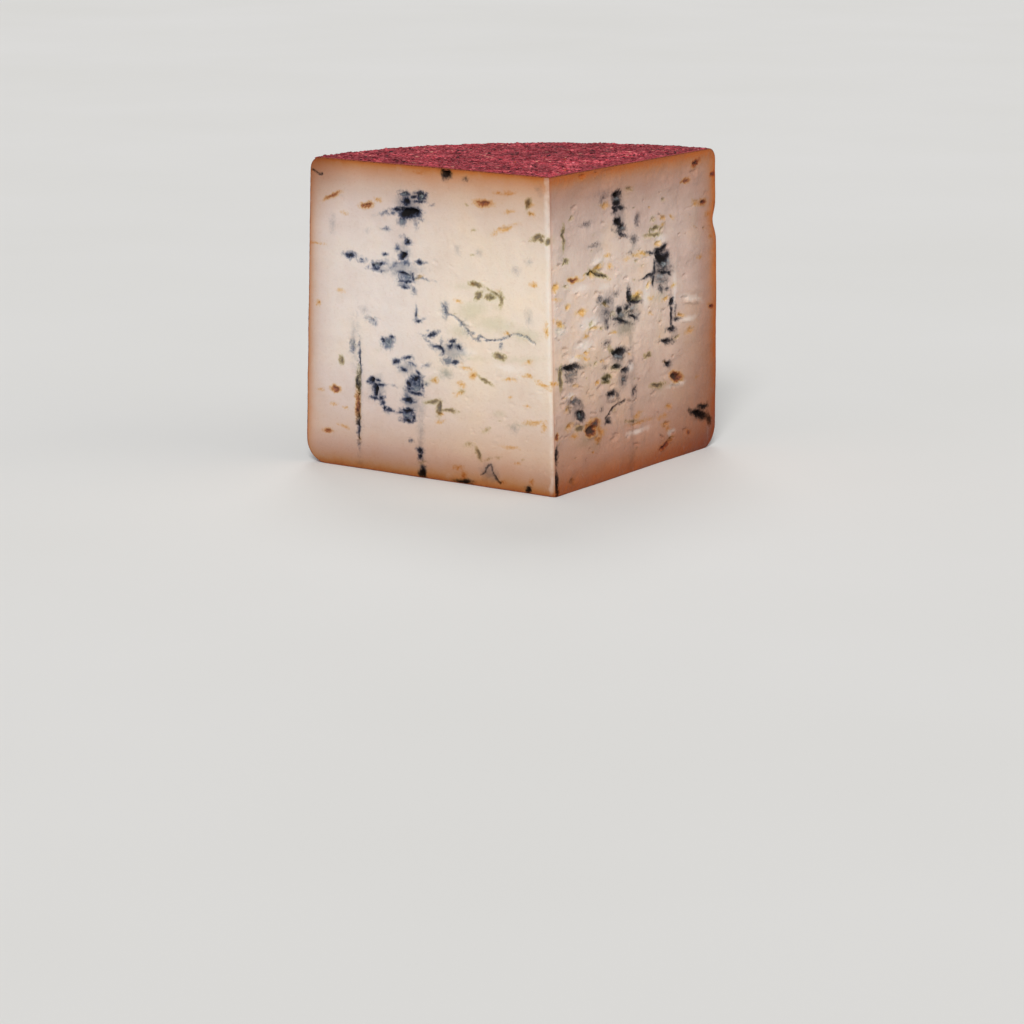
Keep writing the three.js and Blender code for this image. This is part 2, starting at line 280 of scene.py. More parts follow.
# Dark olive rims, and the pale moss-green patches beside them:
OLIVE = {
    LEFT: [
        (34.8, 77.4, 4.6, 1.3), (25, 75, 4.6, 0.9, 20), (23, 73, 1.2, 4), (28.2, 73.2, 3, 1.6),
        (5.8, 97.3, 4.4, 1.5, -20), (3.7, 96.6, 2, 1.3), (0.8, 96.3, 1.6, 1.6), (99.5, 42.3, 2, 2.6),
        (55.5, 30.3, 5, 0.9, -6), (52.4, 28.2, 2.2, 4.8), (47.9, 27.7, 5, 1.1), (24, 51.3, 4, 1.8),
        (31, 41.2, 4.5, 0.9, 22), (34.7, 12.8, 1.6, 4, -25), (91.3, 34.5, 1.4, 7.5),
        (33.4, 73.4, 3, 1.8, -40),
        (9.6, 109.6, 1.6, 3, 20),
    ],
    RIGHT: [
        (70.3, 93.2, 2.6, 1.2), (69, 90.7, 6, 0.9, -3), (72.2, 31.4, 7.4, 1.4, -3), (64.5, 44.5, 3.4, 1.3),
        (36.5, 40.2, 4, 0.9), (35.5, 38.4, 3, 0.8), (17.5, 23.6, 3.6, 1.8), (53.5, 20.3, 5, 0.9, -5),
        (31.5, 80.3, 9, 1.6, -20), (24.5, 81.4, 3, 0.9), (4.6, 44.2, 1.8, 6.4), (56, 67.8, 5, 1.6, -5),
        (66.6, 92, 1.2, 3), (9.6, 88, 3, 1.6), (8, 97, 1.4, 6),
    ],
}
MOSS = {
    LEFT: [
        (40.5, 76, 7, 1.5, -3), (30, 75.2, 3, 2), (26.5, 73.4, 6, 4.4), (25, 69.6, 3, 1.8), (49, 42.6, 5, 3),
        (37, 49.2, 8, 1.2), (24.8, 29.2, 3.6, 2), (58.3, 30, 3.4, 2.4), (93.5, 49, 1.6, 1.2),
        (15.5, 25.8, 6, 1, -12), (56.5, 38.4, 8.5, 1.6, -23), (81.5, 47.6, 1.8, 1.2), (14, 51, 12, 1.4, -8),
        (36, 67.4, 14, 7, -15), (26, 63, 18, 6), (12, 60.4, 12, 5), (31.4, 71.2, 4, 2, -30), (43, 59, 8, 4),
    ],
    RIGHT: [
        (69, 92.3, 7.4, 3.6), (7.5, 98.8, 2.4, 2.4), (7.5, 93, 3, 2.4), (0.8, 97, 1.6, 2), (57, 64.5, 4, 2.4),
        (50, 57.5, 11, 6), (73.5, 66, 9, 3), (27, 15, 8, 4), (76, 29.6, 9, 1.6), (3, 62.5, 4, 2),
        (36, 39.3, 4.6, 2.4), (48, 62.8, 12, 4), (22, 18, 12, 5), (31, 83, 6, 1.6, 20), (24, 47, 5, 1.6),
    ],
}
# Rust-brown spots in small openings, and paler ochre ones:
RUST = {
    LEFT: [
        (86, 103.1, 4.8, 2.2, -12), (30, 108.2, 6.5, 2.1), (102.5, 30.5, 3.8, 2.2), (106.5, 13.5, 3.6, 1.6),
        (91.6, 25, 2, 9.5), (103, 105.6, 6, 0.9, -24),
    ],
    RIGHT: [
        (98.8, 115.6, 5, 2.6, 25), (91.4, 109.2, 4.2, 1.8), (104.7, 99.1, 4.4, 2.3, -10),
        (111.5, 109.7, 2.6, 2),
        (111.3, 57.4, 3.6, 1.9, -10), (14.2, 80.3, 5, 1.6, -8), (86.3, 32.6, 8.5, 3.9, -15),
        (24.8, 21.4, 7, 4.4),
        (27.5, 23.8, 6, 2.6), (77.7, 6.5, 8, 1.6, 16), (2.5, 22.6, 2.2, 2), (95, 8.5, 2.4, 1.4),
    ],
}
OCHRE = {
    LEFT: [
        (80.5, 105.6, 2.4, 1.2), (102.5, 105.5, 6, 0.8, -24), (97, 99.5, 2.4, 1), (98.6, 69.4, 2.6, 1.4),
        (60.3, 117.4, 3.4, 0.9), (23, 112.4, 3, 1), (18.5, 113, 4.6, 1, -8), (9, 109.3, 2.6, 1.3),
        (8, 106.1, 2.4, 1.3), (18.2, 106.2, 4, 1.2, -15), (20.3, 99.4, 8.5, 1.6, -22), (8, 79.5, 2.8, 1.6),
        (39.8, 45, 4, 1.2), (36.8, 42.7, 3.2, 2.4, -30),
        (41.7, 38.3, 3, 1.6), (20, 42.8, 4, 1, -8), (10.8, 45.1, 3.6, 1.2, -5), (5, 42.5, 6, 1.5, 25),
        (0.8, 43, 1.6, 1.6), (54.5, 38.8, 3, 1.6, -23), (51.6, 25.8, 2, 1.2), (9, 27.6, 7, 1.4, -8),
        (5, 26.3, 2, 3), (20, 16.8, 5, 1), (24.6, 3, 3, 1), (44.4, 6.4, 4, 1.6), (41.4, 3.8, 2.4, 3),
        (11, 5, 1.6, 3), (110, 63.5, 2, 1.4), (109.5, 29.5, 2, 1.2),
        (98.5, 16, 4, 1, 14), (111, 87, 6, 0.7, 3),
        (91.3, 12.2, 1.4, 2.6), (2.5, 63, 2, 4),
    ],
    RIGHT: [
        (102.5, 77.7, 3, 1.3), (30.8, 82.9, 7, 2.2, 10), (39, 82.4, 2.6, 2), (50.5, 83.8, 3, 1),
        (37.5, 86.5, 3, 1.2), (2, 74.5, 5, 0.9, -8), (56.5, 84.2, 5, 1.3, -15), (75, 93.8, 3, 1.3),
        (56.8, 68.6, 4, 1.7), (19, 67.4, 5.6, 2.2), (19, 79.8, 4, 0.7),
        (27, 60.4, 6, 1.1), (22.3, 58.2, 3.6, 1.5),
        (21.5, 49.8, 4.6, 1, -12), (17.5, 51, 3, 1), (4.3, 65, 6, 1.9, -25),
        (1, 43, 3, 1), (89, 56.6, 4.4, 1.9, -5),
        (83.5, 69.3, 2.4, 1.3), (67, 66.5, 3, 1.3), (25.5, 22.5, 10, 6), (32, 19.5, 6, 2.6), (30, 17.5, 5, 3),
        (14, 21, 4, 1.6), (58, 21.8, 5, 1.5, 12), (60, 18.8, 12, 1.1),
        (76.5, 18.4, 6, 1.8), (78.5, 15, 5, 1.5),
        (80, 13, 3, 1.8), (101, 30.2, 2.4, 1.2), (110.4, 85, 3, 1.4),
        (110, 94.4, 3.4, 1.3), (61, 84.4, 6, 1.5, -12),
        (57, 69.2, 5, 1.6), (83.6, 69.4, 3, 1.6),
    ],
}
# How dark the rust gets, at most:
RUSTIEST = {LEFT: 0.66, RIGHT: 1.0}
# Where the blade or the tearing left the paste scuffed and pale, and painted highlights on the lit edges of
# ridges and along the point edge:
SCUFF_AND_HIGHLIGHT = {
    LEFT: [(1.5, 66, 1.4, 108), (1, 94, 1.8, 48), (40, 51, 9, 3), (20, 47, 12, 3)],
    RIGHT: [
        (5, 62.5, 9, 4), (25, 62.5, 15, 5.5), (21, 54.5, 12, 4), (52, 41.5, 4, 3),
        (31, 85.3, 10, 2.4), (14, 50.5, 8, 2),
        (96, 62.5, 14, 2.4, -12), (12, 37, 6, 2), (83, 11, 4, 2), (57, 15.5, 14, 2),
        (86, 29.4, 9, 2), (74, 88.5, 8, 3),
        (92, 54.5, 12, 2), (64, 68, 5, 10), (84.5, 66, 2.4, 16), (20, 76.5, 10, 2), (34, 75, 8, 2.4),
    ],
}
# Where a cut is stained brown deeper than elsewhere, in its corner under the rind, partly as painted shade:
STAIN_AND_SHADE = {LEFT: (117, 120, 44, 44), RIGHT: (117, 0, 76, 120)}
# The cracks that the mould followed, as their width, how dark they are and the corners of their path:
CRACKS = {
    LEFT: [
        (0.9, 0.34, [(50, 68), (49, 64.6), (46.5, 64.8), (43.5, 63.6), (41.3, 61.6), (38, 59), (37.5, 57),
                     (36, 56.2), (34.5, 56.4), (33, 58.4), (31, 57.2), (29, 56.7), (26, 57.2), (23.5, 57.6),
                     (21.5, 58.5), (20, 59.3), (17, 60.5), (12, 60), (8, 57.5)]),
        (0.9, 0.8, [(114, 115), (111, 114.4), (108, 113.4)]),
        (0.9, 0.75, [(34, 4.4), (32.8, 5.2), (31.6, 6.6), (31, 8.2), (29.6, 8.8), (28.6, 7.6), (28.2, 5.8),
                     (27.4, 4.2), (25, 2.8)]),
    ],
    RIGHT: [
        (0.9, 0.7, [(24, 81.2), (26.5, 82.2), (29, 81), (31.5, 79.8), (37, 78.6)]),
        (1.3, 0.8, [(48.5, 29.2), (45, 28.6), (42, 27.6), (39, 25.8), (36.4, 24.2)]),
    ],
}
# The needle holes, which were made upright to let air in:
NEEDLES = {LEFT: [(90.6, 38, 1.3, 20), (91.5, 20, 1.3, 18)], RIGHT: [(82.2, 60, 0.8, 10)]}
# Pockets that stand open, as marks with their slope and depth:
HOLLOWS = {
    LEFT: [
        (66.3, 102.4, 11, 2.8, 0, 2.6), (67.8, 108.6, 4, 2.2, 0, 0.8), (61, 108.4, 4.5, 2.4, 0, 0.9),
        (69.2, 85.6, 3.8, 2.4, 0, 1.8), (82, 80, 5, 2.8, 0, 1.3), (67.4, 77.4, 6, 2.6, 0, 0.8),
        (77, 51, 5, 4, 0, 0.8), (83, 31.6, 3.4, 4.6, 0, 2), (84.6, 35.4, 3, 2.8, 0, 1.4),
        (64.4, 36.6, 6, 5.6, 0, 0.7),
        (67.6, 25.2, 4, 1.8, 0, 1.2), (67.4, 29.4, 4, 2, 0, 1), (47.4, 118, 3.4, 2.6, 0, 1.6),
        (86, 103.1, 3.8, 1.5, -12, 1.2), (102.5, 30.5, 3, 1.5, 0, 1), (106.5, 13.5, 3, 1.2, 0, 0.8),
        (30, 108.2, 5.5, 1.5, 0, 1), (27, 73.4, 5, 2.6, 0, 0.7), (61, 1.6, 2.2, 3, 0, 1.2),
        (66.6, 90.8, 2.4, 1.8, 0, 0.9),
        (46.3, 54.9, 3, 1.6, -10, 0.9), (84.6, 59.2, 3.2, 1.6, 12, 0.7), (52.4, 28.2, 1.8, 4, 0, 0.9),
        (55, 56.4, 3.4, 1.2, -20, 0.7), (52.6, 51.9, 3.6, 1, 12, 0.6), (44.5, 46.9, 2.6, 1.2, -5, 0.6),
        (62, 10.3, 2, 1.8, 0, 0.8), (34.7, 12.8, 1.4, 3.4, -25, 0.6), (12.3, 1.6, 2.2, 2, -30, 0.8),
        (6, 97.3, 3.8, 1.1, -20, 0.6), (24.6, 51.3, 3.4, 1.4, 0, 0.6), (94, 47, 2, 3, 0, 0.5),
        (99.6, 42.3, 1.8, 2.2, 0, 0.6), (39.5, 45, 3, 0.9, 0, 0.5), (20.3, 99.4, 7.5, 1.2, -22, 0.5),
    ],
    RIGHT: [
        (74.3, 82.4, 8.4, 5, 0, 3), (44.2, 108.8, 4.2, 2.2, 0, 1.8), (43.6, 99, 3.4, 2.4, 0, 1.7),
        (47.3, 94.4, 5.6, 1.8, -10, 1.1), (11.5, 47.6, 10.5, 1.8, -5, 2), (12.4, 43.6, 6, 2.4, 0, 0.9),
        (44.5, 48, 7, 2.8, 0, 1.4), (18.3, 28.4, 5.2, 3.2, -20, 1.6), (25.3, 21.8, 7.5, 3, 0, 2.2),
        (86.3, 32.6, 7.5, 2.8, -15, 2.4), (103.5, 14.8, 11.5, 1.9, -18, 1.4),
        (53.8, 66.8, 6, 1.2, -6, 1.3),
        (51.5, 69, 2.6, 5, 0, 1), (75, 75.4, 9, 3.4, 0, 1), (69, 92, 5.4, 2.6, 0, 1), (14, 34, 5.4, 1.8, 0, 1),
        (40, 32.9, 4.4, 1.4, 0, 1), (31.5, 81.4, 8, 1.6, -14, 1.2), (30.8, 83, 5.6, 1.6, 10, 0.8),
        (104.7, 99.1, 3.6, 1.7, -10, 1.1), (77.7, 6.5, 7.4, 1.2, 16, 1.2), (19, 67.5, 4, 1.7, 0, 0.9),
        (79, 15.2, 4, 1.3, 0, 0.9), (98.5, 115.6, 3.8, 1.4, 25, 0.9), (48, 37.4, 3.4, 2.4, 0, 0.9),
        (1.7, 15.5, 1.2, 4, 0, 0.5), (45.7, 60.8, 7.4, 0.9, -22, 1), (53.8, 60.8, 4.2, 0.9, -25, 0.9),
        (64.5, 75.4, 7, 0.9, 8, 0.8), (79.5, 47.4, 7.4, 1.1, -10, 1), (79.8, 38.7, 3.8, 1.5, -10, 1),
        (82.4, 52.1, 3.2, 1.2, 0, 0.7), (72.2, 31.4, 6.4, 1.1, -3, 0.8), (57, 18.6, 12, 0.8, 0, 0.5),
        (82.3, 63.4, 2.2, 1.8, 0, 0.7), (14.2, 80.3, 4.2, 0.9, -8, 0.8), (27, 60.4, 5.4, 0.9, 0, 0.7),
        (89, 56.6, 4, 1.5, -5, 1), (111.3, 57.4, 3, 1.2, -10, 0.8), (4.3, 65, 5, 1.4, -25, 0.7),
        (24.8, 81.6, 3, 1, 0, 0.6), (2.5, 22.6, 1.8, 1.6, 0, 0.7), (36.5, 53, 3.4, 1.1, -10, 0.7),
        (55.8, 31.3, 2.6, 3.6, 0, 0.9), (47.7, 41, 4, 1.5, 0, 1), (95, 98.4, 10.5, 0.9, 11, 0.4),
    ],
}
# Ridges and crumbs that the tearing left standing, in the same way:
RIDGES = {
    LEFT: [(40, 62.6, 9, 1.6, 14, 0.3), (57, 40.6, 8, 1.4, -23, 0.25)],
    RIGHT: [
        (97, 61, 14.5, 1.8, -12, 0.7), (92.5, 54, 9, 1.4, 0, 0.5), (56, 17.4, 12, 1.3, 0, 0.5),
        (2, 61, 2.6, 1.8, 0, 0.5),
        (6, 62, 3, 1.8, 0, 0.4), (82.5, 12, 3, 1.5, 0, 0.6), (30, 84.8, 9, 1.4, 6, 0.5),
        (24, 24.8, 8, 1.4, 0, 0.5),
        (12, 49.6, 11, 1.3, -5, 0.4), (75, 86.6, 8, 1.6, 0, 0.5),
    ],
}


def in_mark(x, z, along, height, wide, tall, slope=0):
    """A point's place in a mark's own two ways, level and upright, as shares of half its length and half its
    height."""
    slant = math.radians(slope)
    level = (x - along) * math.cos(slant) + (z - height) * math.sin(slant)
    upright = (z - height) * math.cos(slant) - (x - along) * math.sin(slant)
    return 2 * level / wide, 2 * upright / tall


def marked(x, z, marks, spread=1):
    """How far inside a list of marks each point lies: 1 well inside, 0.5 on an outline and 0 well outside.
    The distance from a mark's ellipse is taken as (e - 1) times half its lesser size, and narrow marks fade
    faster."""
    value = np.zeros_like(x)
    for mark in marks:
        lesser = min(mark[2:4])
        softness = spread * min(1.25, 0.4 + 0.45 * lesser)
        outside = (np.hypot(*in_mark(x, z, *mark)) - 1) * lesser / 2
        value = np.maximum(value, np.clip(0.5 - outside / (2 * softness), 0, 1))
    return value


def cracked(x, z, paths):
    """How far inside the cracks each point lies, and the same times how dark they are: each is a chain of
    straight runs, and the distance is that to the nearest run."""
    value = np.zeros_like(x)
    tone = np.zeros_like(x)
    for width, darkness, path in paths:
        for (x0, z0), (x1, z1) in zip(path, path[1:]):
            run = ((x - x0) * (x1 - x0) + (z - z0) * (z1 - z0)) / ((x1 - x0) ** 2 + (z1 - z0) ** 2)
            run = np.clip(run, 0, 1)
            inside = np.clip(1 - np.hypot(x - x0 - run * (x1 - x0), z - z0 - run * (z1 - z0)) / width, 0, 1)
            value = np.maximum(value, inside)
            tone = np.maximum(tone, darkness * inside)
    return value, tone


def pressed(x, z, marks, lip):
    """How far marks that end in a depth move the surface: all of it at one rim, the upper for a lip of 1 and
    the lower for -1, less towards the other, and fading out from 0.65 to 1.15 of the mark's ellipse."""
    moved = np.zeros_like(x)
    for *mark, deep in marks:
        level, upright = in_mark(x, z, *mark)
        bowl = 1 - smooth(np.hypot(level, upright), 0.65, 1.15)
        moved = np.maximum(moved, deep * bowl * np.clip(0.65 + 0.35 * lip * upright, 0.3, 1))
    return moved


def satellites(marks, number, reach, seed):
    """Small spots thrown round each mark, normally spread over reach times its size."""
    chance = np.random.default_rng(seed)
    spots = []
    for along, height, wide, tall, *_ in marks:
        for _ in range(number):
            size = chance.uniform(0.6, 1.5)
            x = along + chance.normal() * wide * reach / 2
            z = height + chance.normal() * tall * reach / 2
            length = size * chance.uniform(1, 1.8)
            thickness = size * chance.uniform(0.5, 0.9)
            spots.append((x, z, length, thickness, chance.uniform(-35, 35)))
    return spots


def slits(number, widest, middle, spread, gathered, seed):
    """Small openings between the curds: a share of them gathered round a middle, the others anywhere on the
    cut, most of them short and level, with their slope and depth."""
    chance = np.random.default_rng(seed)
    near = chance.normal(middle, spread, (number, 2))
    anywhere = chance.uniform((2, 8), (108, 112), (number, 2))
    place = np.where(chance.random((number, 1)) < gathered, near, anywhere)
    wide = 1 + (widest - 1) * chance.random((number, 1)) ** 1.8
    tall = wide * chance.uniform(0.28, 0.55, (number, 1))
    slope = chance.normal(-4, 14, (number, 1))
    deep = chance.uniform(0.3, 0.9, (number, 1))
    return np.hstack([place, wide, tall, slope, deep]).tolist()


SLITS = {
    LEFT: slits(120, 3.6, (28, 38), (22, 26), 0.7, 21),
    RIGHT: slits(280, 5.2, (35, 52), (27, 28), 0.65, 22),
}


def lips(openings):
    """The rim that was pushed up under each opening: a narrower mark below it, a third as high as that is
    deep."""
    rims = []
    for x, z, wide, tall, slope, deep in openings:
        rims.append((x, z - 0.8 * tall, 0.9 * wide, 0.8 * tall, slope, 0.35 * deep))
    return rims


def growth(x, z, strong, weak, weak_presence, weak_tone):
    """How surely a kind of growth is there, and how deep its colour is. Weak marks take them part of the
    way."""
    dark, pale = marked(x, z, strong), marked(x, z, weak)
    return np.maximum(dark, weak_presence * pale), np.maximum(dark, weak_tone * pale)


# How the marks' outlines are frayed, along the cut and up it:
RAGGED_ALONG = ((0.6, 3.1, 11), (0.3, 1.25, 12))
RAGGED_UP = ((0.55, 2.9, 13), (0.26, 1.15, 14))
# How much the curds tore apart behind the knife on each cut, as a share of the relief given for them:
TORN = {LEFT: 0.4, RIGHT: 1.15}


def read_cut(across, up, cut):
    """What grows and opens at each point of one cut. The point is first shifted by two sizes of random waver,
    which makes the marks' outlines ragged. Gives the fields that the finish reads, and how deep the surface
    is sunk."""
    flat = np.stack([across, up, 0 * up + 10 * cut], axis=-1)
    x = layered(flat, RAGGED_ALONG, across)
    z = layered(flat, RAGGED_UP, up)
    tinged, greenish = [[slit[:5] for slit in SLITS[cut][first::7]] for first in range(2)]
    young = SLATE[cut] + satellites(MOULD[cut], 1, 1.1, 30 + cut)
    mould, mould_tone = growth(x, z, MOULD[cut], young, 0.56, 0.42)
    olive, olive_tone = growth(x, z, OLIVE[cut], greenish, 0.5, 0.5)
    rust, rust_tone = growth(x, z, RUST[cut], OCHRE[cut] + tinged, 0.6, 0.46)
    crack, crack_tone = cracked(x, z, CRACKS[cut])
    needle = marked(across + 0.15 * (x - across), up, NEEDLES[cut])
    fields = {
        "mould": np.maximum(mould, 0.5 * crack),
        "mould_tone": np.maximum(mould_tone, crack_tone),
        "bloom": marked(x, z, BLOOM[cut]),
        "smudge": np.maximum(marked(x, z, SMUDGE[cut], 2), 0.9 * marked(x, z, MOULD[cut] + SLATE[cut], 2.2)),
        "moss": marked(x, z, MOSS[cut], 1.8),
        "olive": olive,
        "olive_tone": olive_tone,
        "rust": rust,
        "rust_tone": np.minimum(rust_tone, RUSTIEST[cut]),
        "scuff_and_highlight": marked(across + 0.4 * (x - across), up + 0.4 * (z - up), SCUFF_AND_HIGHLIGHT[cut]),
        "stain_and_shade": np.clip(1.2 - np.hypot(*in_mark(across, up, *STAIN_AND_SHADE[cut])), 0, 1),
        "warmth": smooth(across, 78, 34) if cut == LEFT else smooth(up, 75, 38),
    }
    sunk = np.maximum.reduce([
        pressed(x, z, HOLLOWS[cut], 1),
        TORN[cut] * pressed(x, z, SLITS[cut], 1),
        0.45 * smooth(crack, 0.2, 0.9),
        0.8 * smooth(needle, 0.2, 0.9),
        0.35 * smooth(mould_tone, 0.6, 0.95),
    ])
    pushed_up = TORN[cut] * pressed(x, z, lips(SLITS[cut] + HOLLOWS[cut]), -1)
    raised = np.maximum(pressed(x, z, RIDGES[cut], -1), pushed_up)
    return fields, sunk - raised * (sunk < 0.05)


CURD_GRAIN = ((0.16, 4.6, 17), (0.14, 2.4, 18), (0.08, 1.2, 19))


def curd_relief(across, up, cut):
    """The cuts' own roughness, as millimetres out: a broad swell, upright drags of the blade, level folds of
    the curds, and grain of three sizes that comes and goes in patches."""
    flat = np.stack([across, up, 0 * up + 3 * cut], axis=-1)
    swell = 0.3 * unevenness(flat, 16, 20)
    drags = 0.2 * unevenness(flat * (1, 1 / 14, 1), 6.5, 23)
    folds = 0.3 * unevenness(flat * (0.45, 1, 1), 4.8, 25)
    crumbly = 0.3 + 0.7 * smooth(unevenness(flat, 13, 24), -0.15, 0.4)
    return TORN[cut] * (swell + drags + folds + crumbly * layered(flat, CURD_GRAIN))


# How fast the browning fades in from the base and the side of each cut: how many millimetres under the top
# look the same as one millimetre from there, where the side's browning starts and the least distance told.
# The base's distances count for less than the top's, so the foot browns more: partly real browning, partly
# painted shade.
BASE_FADING = {LEFT: 0.66, RIGHT: 0.55}
SIDE_FADING = {LEFT: 3.0, RIGHT: 0.95}
SIDE_START = {LEFT: 1.0, RIGHT: 0.8}
CLOSEST = 0.05


def rind_gaps(across, up):
    """A cut point's distances to the side, the base and the top. In the shoulders' squares, the distance to
    the side is that to the shoulder's circle."""
    side = BASE_RADIUS + (TOP_RADIUS - BASE_RADIUS) * up / HEIGHT - np.abs(across)
    base, top = up, HEIGHT - up
    for end, shoulder in ((base, BASE_SHOULDER), (top, TOP_SHOULDER)):
        to_circle = shoulder - np.hypot(shoulder - side, shoulder - end)
        side = np.where((side < shoulder) & (end < shoulder), to_circle, side)
    return [np.maximum(gap, CLOSEST) for gap in (side, base, top)]


def ripeness(across, up, cut):
    """How deep under the rind a cut point seems to lie, in millimetres. Its distances to the side and the base,
    as they fade, and to the top are joined as 1/d^2 = 1/a^2 + 1/b^2 + 1/c^2, which rounds the corners."""
    side, base, top = rind_gaps(across, up)
    side = side * SIDE_FADING[cut] + SIDE_START[cut]
    base = base * BASE_FADING[cut]
    return (side**-2 + base**-2 + top**-2) ** -0.5


def solid_of(name, points, faces, fields, creases=()):
    """Puts points in millimetres and faces of corner numbers into a new object, with a number for each point
    under each field's name, and shades it smooth but for the creases, which are chains of corner numbers."""
    mesh = bpy.data.meshes.new(name)
    mesh.from_pydata((points * MM).tolist(), [], faces)
    for field, values in fields.items():
        kind, key = ("FLOAT", "value") if values.ndim == 1 else ("FLOAT_COLOR", "color")
        mesh.attributes.new(field, kind, "POINT").data.foreach_set(key, values.astype(np.float32).ravel())
    mesh.shade_smooth()
    if creases:
        ends = np.zeros(2 * len(mesh.edges), int)
        mesh.edges.foreach_get("vertices", ends)
        chains = np.concatenate([np.stack([chain[:-1], chain[1:]], axis=-1) for chain in creases])
        keys = [np.sort(pairs, axis=-1) @ (len(points), 1) for pairs in (ends.reshape(-1, 2), chains)]
        mesh.attributes.new("sharp_edge", "BOOLEAN", "EDGE").data.foreach_set("value", np.isin(*keys))
    piece = bpy.data.objects.new(name, mesh)
    bpy.context.scene.collection.objects.link(piece)
    return piece


def grid_faces(numbers):
    """The four-cornered faces between neighbours in a grid of corner numbers."""
    a, b, c, d = numbers[:-1, :-1], numbers[1:, :-1], numbers[1:, 1:], numbers[:-1, 1:]
    return np.stack([a, b, c, d], axis=-1).reshape(-1, 4).tolist()


def fans(foot, crown, carried):
    """The three-cornered faces from the two ends on the axis to the first and last points of each carried
    outline, whose turns run along the first way of the grid."""
    first, last = carried[:, 0].tolist(), carried[:, -1].tolist()
    return [(foot, a, b) for a, b in zip(first, first[1:])] + [(crown, b, a) for a, b in zip(last, last[1:])]


PASTE_INSET = 0.35
CUT_COLUMNS = 286
FOOT_ROWS = 30
SIDE_ROWS = 262
CROWN_ROWS = 16
BACK_STEPS = 5


def make_half(name, cut):
    """One cut with the half of the block behind it. The cut is a grid of columns out from the point edge and
    rows up the outline, where a column's share times the outline's radius gives the distance from the edge.
    Its rim is carried round under the rind to the wedge's middle, where a flat wall closes the half."""
    radius, height, _ = wheel_section(PASTE_INSET, 1, FOOT_ROWS, SIDE_ROWS, CROWN_ROWS, 1)
    radius, height = radius[1:-1], height[1:-1]
    across = np.linspace(min(cut, 0), max(cut, 0), CUT_COLUMNS + 1)[:, None] * radius
    up = np.broadcast_to(height, across.shape)
    fields, sunk = read_cut(np.abs(across), up, cut)
    fields["depth"] = ripeness(across, up, cut)
    fields["across"] = np.abs(across)
    held = smooth(np.minimum.reduce(rind_gaps(across, up)), 0.3, 1.6) * smooth(np.abs(across), 0, 1.4)
    out = knife_waver(across, up) + held * (curd_relief(across, up, cut) - sunk)
    face = in_wedge(np.abs(across), cut * HALF_TURN, up) + out[..., None] * out_of_cut(across)

    number = np.arange(up.size).reshape(up.shape)
    outwards = number[::cut]
    edge = outwards[0]
    rim = np.concatenate([outwards[1:, 0], outwards[-1, 1:-1], outwards[:0:-1, -1]])
    turns = cut * HALF_TURN * np.linspace(1, 0, BACK_STEPS + 1)[1:, None]
    back = in_wedge(np.abs(across).ravel()[rim], turns, up.ravel()[rim] + 0 * turns)
    back[-1, :, 0] = POINT_LEAN[0] * back[-1, :, 2] / HEIGHT
    hidden = up.size + np.arange(turns.size * rim.size).reshape(turns.size, -1)
    carried = np.concatenate([rim[None], hidden])[::-cut]
    faces = grid_faces(number) + grid_faces(carried.T) + fans(int(edge[0]), int(edge[-1]), carried)
    wall = np.concatenate([edge[:1], hidden[-1], edge[:0:-1]])
    faces.append(wall[::-cut].tolist())
    points = np.concatenate([face.reshape(-1, 3), back.reshape(-1, 3)])
    unseen = np.zeros(hidden.size)
    creases = (np.append(wall, wall[0]), np.concatenate([edge[:1], rim, edge[-1:]]))
    fields = {key: np.append(values, unseen) for key, values in fields.items()}
    return solid_of(name, points, faces, fields, creases)


def seen(red, green, blue):
    """A colour as the eye sees it, 0 to 255 for red, green and blue, as the shares of light it sends back:
    c / 12.92 where it is nearly black, and ((c + 0.055) / 1.055)^2.4 elsewhere."""
    shade = np.array([red, green, blue]) / 255
    return (*np.where(shade <= 0.04045, shade / 12.92, ((shade + 0.055) / 1.055) ** 2.4).tolist(), 1.0)


def new_finish(name):
    """An empty material and the function that adds a node to it: inputs by name or number, as values or as
    another node's output, and settings by name. It returns the node's output."""
    material = bpy.data.materials.new(name)
    material.use_nodes = True
    tree = material.node_tree
    tree.nodes.clear()

    def add(kind, inputs=None, output=0, **settings):
        node = tree.nodes.new("ShaderNode" + kind)
        for setting, value in settings.items():
            setattr(node, setting, value)
        for socket, value in (inputs or {}).items():
            if isinstance(value, bpy.types.NodeSocket):
                tree.links.new(value, node.inputs[socket])
            else:
                node.inputs[socket].default_value = value
        return node.outputs[output] if len(node.outputs) else node

    return material, add


def field(add, name):
    """The number that a piece's points hold under a name."""
    return add("Attribute", output=2, attribute_name=name)


def sums(add, operation, *values):
    """One step of arithmetic."""
    return add("Math", dict(enumerate(values)), operation=operation)


def rising(add, value, start, end, top=1.0):
    """0 below start, top above end, and a smooth step between them."""
    return add("MapRange", {0: value, 1: start, 2: end, 3: 0.0, 4: top}, interpolation_type="SMOOTHSTEP")


def swung(add, value, noise, reach):
    """A value moved up and down by a noise round 0.5."""
    return sums(add, "MULTIPLY_ADD", sums(add, "SUBTRACT", noise, 0.5), reach, value)


def tinted(add, amount, under, over, how="MIX"):
    """One colour laid over another by an amount."""
    return add("Mix", {0: amount, 6: under, 7: over}, output=2, data_type="RGBA", blend_type=how)


def mottle(add, place, size, detail=3.0, rough=0.55, twist=0.0):
    """Cloudy variation round 0.5, with clouds of a size in millimetres."""
    scale = 1 / (size * MM)
    inputs = {"Vector": place, "Scale": scale, "Detail": detail, "Roughness": rough, "Distortion": twist}
    return add("TexNoise", inputs)


def shades(add, value, stops):
    """Colours laid along a value from 0 to 1."""
    output = add("ValToRGB", {0: value})
    band = output.node.color_ramp
    while len(band.elements) < len(stops):
        band.elements.new(0.5)
    for element, (position, colour) in zip(band.elements, stops):
        element.position = position
        element.color = colour
    return output


